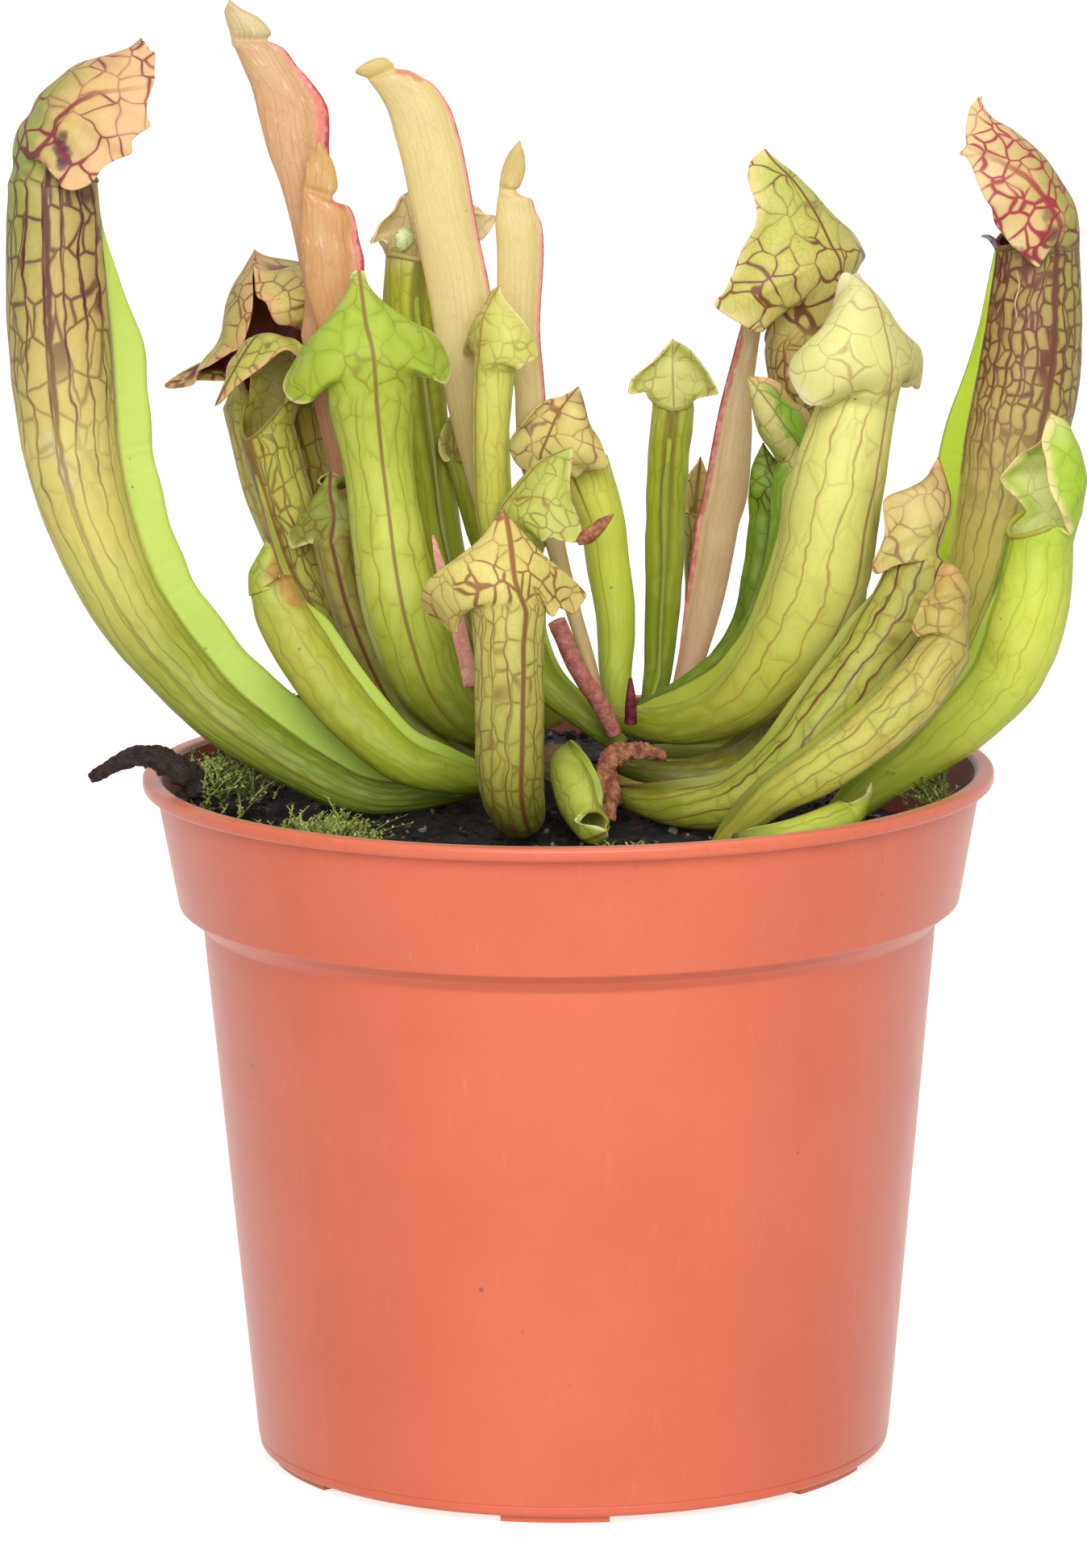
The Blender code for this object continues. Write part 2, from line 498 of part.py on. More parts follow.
def build_pitcher(name, spec):
    """A hollow leaf: closed wall with a wing on its front, open mouth, and a hood over it."""
    rows = spec["rows"]
    steps = even_steps(spec["spine"], rows)
    hollow_from = max(1, int(rows * HOLLOW_FROM))
    points, faces = [], []
    outer_rows, inner_rows = [], []

    def number(row):
        first = len(points)
        points.extend(row)
        return list(range(first, first + len(row)))

    for index, step in enumerate(steps):
        outer, inner = tube_row(spec, step)
        outer_rows.append(number(outer))
        if index >= hollow_from:
            inner_rows.append(number(inner))
    closed_outer = len(outer_rows)
    closed_inner = len(inner_rows)
    for share in SMALL_HOOD_ROWS if is_small(spec) else HOOD_ROWS:
        outer, inner = hood_row(spec, share)
        outer_rows.append(number(outer))
        inner_rows.append(number(inner))
    points.append(Vector(spec["tip"]))
    tip = len(points) - 1

    for skin, closed, flip in ((outer_rows, closed_outer, False), (inner_rows, closed_inner, True)):
        for k in range(len(skin) - 1):
            stitch(skin[k], skin[k + 1], faces, flip)
            if k < closed - 1:
                stitch([skin[k][-1], skin[k][0]], [skin[k + 1][-1], skin[k + 1][0]], faces, flip)
        stitch(skin[-1], [tip] * len(skin[-1]), faces, flip)
        cap(skin[0], faces, not flip)
    mouth_outer, mouth_inner = outer_rows[closed_outer - 1], inner_rows[closed_inner - 1]
    stitch([mouth_outer[-1], mouth_outer[0]], [mouth_inner[-1], mouth_inner[0]], faces, False)
    margin_outer = outer_rows[closed_outer - 1:] + [[tip]]
    margin_inner = inner_rows[closed_inner - 1:] + [[tip]]
    for end, flip in ((0, False), (-1, True)):
        stitch([row[end] for row in margin_inner], [row[end] for row in margin_outer], faces, flip)
    kept = [f for f in faces if len(set(f)) == 3]
    return add_object(name, points, kept, spec["color"], 0.45)


def build_young(name, spec):
    """A flat closed blade with a pointed lid."""
    spine = spec["spine"] + [(*spec["tip"], 0.2)]
    rows = len(spine) + 1
    steps = even_steps(spine, rows)[:-1]
    points, faces, rings = [], [], []
    for step in steps:
        centre, width, tangent, front, side = frame_at(spine, step, YOUNG_FACE)
        thickness = max(YOUNG_LEAST, width * YOUNG_FLATNESS)
        first = len(points)
        for k in range(YOUNG_SIDES):
            angle = 2 * math.pi * k / YOUNG_SIDES
            points.append(centre + side * width * math.cos(angle) + front * thickness * math.sin(angle))
        rings.append(list(range(first, len(points))))
    points.append(Vector(spec["tip"]))
    tip = len(points) - 1
    for low, high in zip(rings, rings[1:]):
        stitch(low + low[:1], high + high[:1], faces, False)
    stitch(rings[-1] + rings[-1][:1], [tip] * (YOUNG_SIDES + 1), faces, False)
    cap(rings[0], faces, True)
    return add_object(name, points, [f for f in faces if len(set(f)) == 3], spec["color"], 0.5)


def build_rod(name, spine, color, sides=8, rows=6, flatness=1.0, wobble=0.0):
    """A closed round or flattened piece along a short curve."""
    points, faces, rings = [], [], []
    for row, step in enumerate(even_steps(spine, rows)):
        centre, radius, tangent, front, side = frame_at(spine, step, ROD_FACE)
        first = len(points)
        for k in range(sides):
            angle = 2 * math.pi * k / sides
            uneven = 1.0 + wobble * math.sin(3.1 * k + 2.3 * row)
            ray = side * math.cos(angle) + front * math.sin(angle) * flatness
            points.append(centre + ray * radius * uneven)
        rings.append(list(range(first, len(points))))
    for low, high in zip(rings, rings[1:]):
        stitch(low + low[:1], high + high[:1], faces, False)
    cap(rings[0], faces, True)
    cap(rings[-1], faces, False)
    return add_object(name, points, faces, color, 0.6)


# Pot

def pot_profile():
    """Half section (radius, height), from the middle of the floor up the inside and down the outside."""
    base = FOOT_HEIGHT
    floor = base + FLOOR_THICKNESS
    collar_bottom = POT_HEIGHT - COLLAR_HEIGHT
    step_bottom = collar_bottom - STEP_HEIGHT
    rim_bottom = POT_HEIGHT - RIM_THICKNESS
    inside = [
        (BOSS_RADIUS, floor), (FLOOR_RING, floor), (BASE_RADIUS - WALL - FLOOR_CORNER, floor),
        (BASE_RADIUS - WALL, floor + FLOOR_CORNER), (BODY_TOP_RADIUS - WALL, step_bottom + WALL / 2),
        (COLLAR_LOW_RADIUS - WALL, collar_bottom + STEP_ROUND), (COLLAR_TOP_RADIUS - WALL, rim_bottom - WALL),
        (RIM_RADIUS - RIM_INSIDE - RIM_ROUND, POT_HEIGHT - RIM_ROUND), (RIM_RADIUS - RIM_INSIDE, POT_HEIGHT)]
    outside = [
        (RIM_RADIUS - RIM_ROUND, POT_HEIGHT), (RIM_RADIUS, POT_HEIGHT - RIM_ROUND),
        (RIM_RADIUS - RIM_UNDER, rim_bottom), (COLLAR_TOP_RADIUS, rim_bottom - RIM_UNDER),
        (COLLAR_LOW_RADIUS, collar_bottom), (COLLAR_LOW_RADIUS - STEP_ROUND, collar_bottom - STEP_ROUND / 2),
        (BODY_TOP_RADIUS, step_bottom), (BASE_RADIUS, base + BASE_LINE),
        (BASE_RADIUS - BASE_ROUND, base + BASE_LINE - BASE_ROUND), (BASE_RADIUS - BASE_ROUND, base),
        (FOOT_RADII[1], base), (FOOT_RADII[0], base), (FLOOR_RING, base), (BOSS_RADIUS, base)]
    return inside + outside


def turned(profile, segments):
    """Rings of a turned shape; the first and last rings are closed with a face each."""
    points, faces = [], []
    for radius, height in profile:
        for k in range(segments):
            angle = 2 * math.pi * k / segments
            points.append(Vector((radius * math.cos(angle), radius * math.sin(angle), height)))
    for ring in range(len(profile) - 1):
        for k in range(segments):
            after = (k + 1) % segments
            low, high = ring * segments, (ring + 1) * segments
            faces.append((low + k, low + after, high + after, high + k))
    faces.append(tuple(range(segments)))
    faces.append(tuple((len(profile) - 1) * segments + k for k in range(segments)))
    return points, faces


def lower_faces(pot, chosen):
    """Draw the chosen underside faces down to the surface, as feet and a boss."""
    shell = bmesh.new()
    shell.from_mesh(pot.data)
    shell.faces.ensure_lookup_table()
    picked = [face for face in shell.faces if chosen(face)]
    drawn = bmesh.ops.extrude_face_region(shell, geom=picked)
    moved = [v for v in drawn["geom"] if isinstance(v, bmesh.types.BMVert)]
    bmesh.ops.delete(shell, geom=picked, context="FACES_KEEP_BOUNDARY")
    bmesh.ops.translate(shell, verts=moved, vec=(0, 0, -FOOT_HEIGHT * MM))
    bmesh.ops.recalc_face_normals(shell, faces=shell.faces)
    shell.to_mesh(pot.data)
    shell.free()


def is_foot_or_boss(face):
    centre = face.calc_center_median() / MM
    radius = math.hypot(centre.x, centre.y)
    if abs(centre.z - FOOT_HEIGHT) > 0.01:
        return False
    if radius < BOSS_RADIUS * 0.5:
        return True
    turn = math.degrees(math.atan2(centre.y, centre.x)) + FOOT_TURN
    spacing = 360.0 / FOOT_COUNT
    width = FOOT_SEGMENTS * 360.0 / POT_SEGMENTS
    on_foot = (turn + width / 2) % spacing < width
    return on_foot and FOOT_RADII[0] < radius < FOOT_RADII[1]


def cut_with(target, cutter):
    """Cut one object by another, and drop the cutter."""
    cut = target.modifiers.new("cut", "BOOLEAN")
    cut.operation = "DIFFERENCE"
    cut.object = cutter
    cut.solver = "EXACT"
    bpy.context.view_layer.update()
    baked = bpy.data.meshes.new_from_object(target.evaluated_get(bpy.context.evaluated_depsgraph_get()))
    target.modifiers.clear()
    target.data = baked
    bpy.data.objects.remove(cutter, do_unlink=True)


def drain_cutter():
    points, faces = [], []
    sides = DRAIN_SIDES
    for hole in range(DRAIN_COUNT):
        turn = 2 * math.pi * (hole + 0.5) / DRAIN_COUNT + math.radians(DRAIN_TURN)
        first = len(points)
        for height in (-FLOOR_THICKNESS, FOOT_HEIGHT + 2 * FLOOR_THICKNESS):
            for k in range(sides):
                angle = 2 * math.pi * k / sides
                points.append(Vector((DRAIN_CIRCLE * math.cos(turn) + DRAIN_RADIUS * math.cos(angle),
                                      DRAIN_CIRCLE * math.sin(turn) + DRAIN_RADIUS * math.sin(angle),
                                      height)))
        for k in range(sides):
            after = (k + 1) % sides
            faces.append((first + k, first + after, first + sides + after, first + sides + k))
        faces.append(tuple(first + k for k in reversed(range(sides))))
        faces.append(tuple(first + sides + k for k in range(sides)))
    cutter = add_object("drain_cutter", points, faces, COLORS["pot"])
    cutter.hide_render = True
    cutter.display_type = "WIRE"
    return cutter


def build_pot():
    points, faces = turned(pot_profile(), POT_SEGMENTS)
    pot = add_object("pot", points, faces, COLORS["pot"], 0.35)
    lower_faces(pot, is_foot_or_boss)
    cut_with(pot, drain_cutter())
    pot.data.shade_smooth()
    pot.data.set_sharp_from_angle(angle=SHARP_ANGLE)
    return pot


# Soil and rhizome

def soil_height(x, y):
    height = SOIL_LEVEL
    mound = (x - MOUND_CENTRE[0]) ** 2 + (y - MOUND_CENTRE[1]) ** 2
    height += MOUND_RISE * math.exp(-mound / (2 * MOUND_SPREAD ** 2))
    crown = (x - CROWN_CENTRE[0]) ** 2 + (y - CROWN_CENTRE[1]) ** 2
    height += CROWN_RISE * math.exp(-crown / (2 * CROWN_SPREAD ** 2))
    height -= SUNK_SIDE * smoothstep(SUNK_FROM_X, SUNK_TO_X, x)
    along_x, along_y = SOIL_WAVE_RATES
    return height + SOIL_WAVE * math.sin(along_x * x + 1.3) * math.sin(along_y * y)


def soil_wall_radius(height):
    """Radius of the soil where it meets the inside of the pot."""
    collar_bottom = POT_HEIGHT - COLLAR_HEIGHT
    share = (height - collar_bottom) / COLLAR_HEIGHT
    inside = COLLAR_LOW_RADIUS + (COLLAR_TOP_RADIUS - COLLAR_LOW_RADIUS) * min(share, 0.85)
    return inside - WALL - GAP - SOIL_SLACK


def build_soil():
    """Peat that fills the pot, mounded round the crown, with a plain hole for the rhizome."""
    points, faces, rings = [], [], []
    hole = RHIZOME_RADIUS + GAP
    collar_bottom = POT_HEIGHT - COLLAR_HEIGHT
    step_bottom = collar_bottom - STEP_HEIGHT

    def ring(place):
        first = len(points)
        for k in range(SOIL_SEGMENTS):
            angle = 2 * math.pi * k / SOIL_SEGMENTS
            points.append(Vector(place(math.cos(angle), math.sin(angle))))
        rings.append(list(range(first, len(points))))

    def on_surface(radius, shift):
        def place(c, s):
            x, y = CROWN_CENTRE[0] * shift + radius * c, CROWN_CENTRE[1] * shift + radius * s
            return x, y, soil_height(x, y)
        return place

    def at_wall(c, s):
        near_wall = COLLAR_LOW_RADIUS + STEP_ROUND
        height = min(soil_height(near_wall * c, near_wall * s), POT_HEIGHT)
        radius = soil_wall_radius(height)
        return radius * c, radius * s, height

    def level(radius, height, shift):
        return lambda c, s: (CROWN_CENTRE[0] * shift + radius * c,
                             CROWN_CENTRE[1] * shift + radius * s, height)

    ring(level(hole, RHIZOME_BOTTOM - GAP, 1.0))
    ring(on_surface(hole, 1.0))
    for radius in SOIL_RINGS:
        ring(on_surface(radius, 1.0 - smoothstep(SOIL_RINGS[0], SOIL_RINGS[4], radius)))
    ring(at_wall)
    inset = WALL + GAP + SOIL_SLACK
    ring(level(COLLAR_LOW_RADIUS - inset, collar_bottom + 2 * STEP_ROUND, 0.0))
    ring(level(BODY_TOP_RADIUS - inset, step_bottom + WALL, 0.0))
    floor = FOOT_HEIGHT + FLOOR_THICKNESS
    ring(level(BASE_RADIUS - inset - SOIL_SLACK, floor + FLOOR_CORNER + 2 * SOIL_SLACK, 0.0))
    ring(level(BASE_RADIUS - inset - FLOOR_CORNER, floor + GAP, 0.0))
    for low, high in zip(rings, rings[1:]):
        stitch(low + low[:1], high + high[:1], faces, False)
    faces.append(tuple(rings[0]))
    faces.append(tuple(rings[-1]))
    return add_object("potting_soil", points, faces, COLORS["soil"], 0.95)


def cut_stem_hole(soil, spine):
    """A plain hole in the soil round the buried start of a leaf."""
    sleeve = [(x, y, z, radius + GAP + STEM_SLACK) for x, y, z, radius in spine[:3]]
    below = Vector(sleeve[0][:3]) - (Vector(sleeve[1][:3]) - Vector(sleeve[0][:3])).normalized()
    sleeve.insert(0, (*below, sleeve[0][3]))
    cutter = build_rod("stem_hole", sleeve, COLORS["soil"], sides=10, rows=6)
    cutter.hide_render = True
    cutter.display_type = "WIRE"
    cut_with(soil, cutter)


def build_rhizome():
    """The short knobbly crown, standing in the soil's hole."""
    points, faces, rings = [], [], []
    sides = RHIZOME_SIDES
    for row, (height, share) in enumerate(RHIZOME_LEVELS):
        first = len(points)
        for k in range(sides):
            angle = 2 * math.pi * k / sides
            above_soil = height > SOIL_LEVEL + CROWN_RISE
            dent = KNOB_DEPTH * (1 + math.sin(KNOB_COUNT * angle + row)) if above_soil else 0.0
            radius = RHIZOME_RADIUS * share * (1.0 - dent)
            points.append(Vector((CROWN_CENTRE[0] + radius * math.cos(angle),
                                  CROWN_CENTRE[1] + radius * math.sin(angle), height)))
        rings.append(list(range(first, len(points))))
    for low, high in zip(rings, rings[1:]):
        stitch(low + low[:1], high + high[:1], faces, False)
    cap(rings[0], faces, True)
    cap(rings[-1], faces, False)
    return add_object("rhizome", points, faces, COLORS["rhizome"], 0.8)


def main():
    clear_scene()
    build_pot()
    soil = build_soil()
    for name in BURIED:
        cut_stem_hole(soil, PITCHERS[name]["spine"])
    build_rhizome()
    for name, spec in PITCHERS.items():
        build_pitcher(name, spec)
    for name, spec in YOUNG.items():
        build_young(name, spec)
    build_rod("flower_stalk", STALK, COLORS["stalk"], sides=10, rows=8)
    build_rod("new_bud", BUD, COLORS["bud"], rows=4)
    build_rod("bark_piece", BARK, COLORS["bark"], sides=7, rows=7, wobble=0.18)
    build_rod("dead_leaf", DEAD_LEAF, COLORS["dead"], rows=7, flatness=0.5)


main()
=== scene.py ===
"""Looks of the potted pitcher plant: fine leaves, pot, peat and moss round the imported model.

Lengths in the tables are millimetres, in the model's own frame; meshes are made in metres.
"""
import math

import bmesh
import bpy
import numpy as np
from mathutils import Matrix, Vector


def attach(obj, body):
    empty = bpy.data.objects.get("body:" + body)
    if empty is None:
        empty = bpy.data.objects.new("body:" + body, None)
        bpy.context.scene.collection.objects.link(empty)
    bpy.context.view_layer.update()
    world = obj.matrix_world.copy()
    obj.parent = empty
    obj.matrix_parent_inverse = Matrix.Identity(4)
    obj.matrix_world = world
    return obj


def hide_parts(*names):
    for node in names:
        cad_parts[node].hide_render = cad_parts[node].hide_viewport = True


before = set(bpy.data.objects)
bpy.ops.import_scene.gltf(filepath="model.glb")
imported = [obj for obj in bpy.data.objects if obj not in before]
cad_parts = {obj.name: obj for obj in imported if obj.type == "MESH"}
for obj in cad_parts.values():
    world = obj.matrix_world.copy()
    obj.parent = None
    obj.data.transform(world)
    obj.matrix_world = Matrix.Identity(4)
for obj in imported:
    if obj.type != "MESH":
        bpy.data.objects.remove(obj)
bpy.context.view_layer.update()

MM = 0.001
PHOTO_HEIGHT = 1945

# Camera: place in mm, pitch below the horizon, roll, and the focal length in pixels of the photo
CAMERA_PLACE = (-3.5, -1118.3, 305.5)
CAMERA_PITCH = 0.1855
CAMERA_ROLL = 0.0089
CAMERA_FOCAL = 9998.0
SENSOR = 36.0

# Lights: place and size in metres, and watts; and the share of the room's white that falls on things
LIGHTS = {
    "front_light": ((0.05, -2.2, 1.25), (2.2, 1.8), 67.0),
    "top_light": ((0.1, 0.3, 1.6), (1.2, 1.2), 7.0),
}
ROOM_LIGHT = 0.20
FLOOR_GLOW = 0.80
FLOOR_HALF = 4.0

# Pot, with the model's driving sizes
POT_HEIGHT = 98.0
RIM_RADIUS = 60.0
COLLAR_TOP_RADIUS = 58.0
COLLAR_LOW_RADIUS = 55.2
COLLAR_HEIGHT = 18.7
COLLAR_BOTTOM = POT_HEIGHT - COLLAR_HEIGHT
STEP_HEIGHT = 2.8
BODY_TOP_RADIUS = 51.8
BASE_RADIUS = 45.0
WALL = 1.0
FLOOR_THICKNESS = 1.4
FOOT_HEIGHT = 1.0
FOOT_RADII = (40.0, 43.6)
FOOT_COUNT = 6
FOOT_SPAN = 20.0
FOOT_TURN = -93.75
BOSS_RADIUS = 5.0
DRAIN_COUNT = 6
DRAIN_RADIUS = 3.2
DRAIN_CIRCLE = 29.0
POT_SEGMENTS = 180

# Inner face of the collar: how it leans out, and its radius if it went on down to height 0
COLLAR_LEAN = 0.181
COLLAR_INSIDE = 40.2

# Soil surface, as in the model; radius and height of the rings below it; rings and segments of its mesh
SOIL_LEVEL = 93.3
MOUND_CENTRE = (-30.0, 30.0)
MOUND_RISE = 12.0
MOUND_SPREAD = 13.0
CROWN_CENTRE = (-2.0, 0.0)
CROWN_RISE = 4.0
CROWN_SPREAD = 8.0
SUNK_SIDE = 8.0
SUNK_FROM_X = 26.0
SUNK_TO_X = 46.0
SOIL_RADIUS = 55.9
SOIL_SIDE = ((55.6, 86.0), (53.9, 81.1), (50.2, 77.5), (43.1, 4.6), (42.1, 2.8))
SOIL_RINGS = 66
SOIL_SEGMENTS = 320
CRUMB_COUNT = 1500
CRUMB_REACH = 55.0

# Moss clumps: centre, spread, number of strands, length of a strand and how far up the peat they start;
# and a stem's half-thickness and its leaflets per mm
MOSS = {
    "moss_left": ((-50.0, -12.0), 5.6, 330, 5.5, 6.0),
    "moss_front_left": ((-35.0, -38.0), 6.6, 210, 6.0, 1.2),
    "moss_mound": ((-38.0, 18.0), 6.5, 260, 4.5, 0.0),
    "moss_right_rim": ((54.0, -11.0), 5.0, 170, 4.0, 12.5),
    "moss_front": ((7.5, -48.0), 2.6, 40, 3.5, 0.0),
}
MOSS_REACH = 53.5
MOSS_LEANS_FROM = 44.0
MOSS_STEM = 0.19
MOSS_LEAFLETS = 2.6

# Root fibres on the peat: how many, the field of their middles, and how far from the axis they may lie
FIBRE_COUNT = 26
FIBRE_FIELD = ((-34.0, 22.0), (-52.0, -36.0))
FIBRE_REACH = 54.5

# Leaf walls: thickness of a blade and of the hood's edge, and how far in from the edge it thins; how far up
# the tube its cavity starts; height and length of the skin's lumps; half-thickness of the wing at its root
# and its edge, where along the tube it ends, over what share of it it tapers, and how far it sways
BLADE = 0.5
MARGIN_BLADE = 0.3
THINS_OVER = 1.5
CAVITY_FROM = 0.55
LUMP = 0.10
LUMP_LENGTH = 3.2
WING_ROOT = 0.38
WING_TIP = 0.22
WING_END = 0.9
WING_TAPER = 0.15
WING_SWAY = (0.35, 0.15)

# Leaf shapes: how much the mouths face up, places of neck, lobes and last row along the hood, the sheet's
# half-angle at the neck, the arch of a hood with no points of its own, how far its edge rolls back and
# waves, the radius and sides of the lip and how much thinner it is on a small leaf, and the mouth's radius
# above which a leaf is made with more points: rows of the tube and of the hood, columns of the skin, and
# columns of each side of the wing
LIFT = 0.55
NECK_AT = 0.13
LOBE_AT = 0.40
HOOD_END = 0.985
NECK_ANGLE = 1.75
HOOD_ARCH = 0.05
EDGE_ROLL = 0.25
RIPPLE = 0.35
LIP = 0.42
LIP_SIDES = 8
SMALL_LIP = 0.7
BIG_MOUTH = 4.2
BIG_COUNTS = (96, 84, 49, 6)
SMALL_COUNTS = (60, 44, 33, 4)

# Steps in which the length of a curve, a crest and an edge is measured
CURVE_STEPS = 400
CREST_STEPS = 200
EDGE_STEPS = 300

# Young leaves: thickness against width, rows of the stem and of the blade above it, sides, the body's least
# half-thickness, and depth and length of the crease below the lid
YOUNG_FLATNESS = 0.36
YOUNG_ROWS = 90
YOUNG_BLADE_ROWS = 120
YOUNG_SIDES = 40
YOUNG_LEAST = 0.8
CREASE_DEPTH = 0.45
CREASE_LENGTH = 0.006

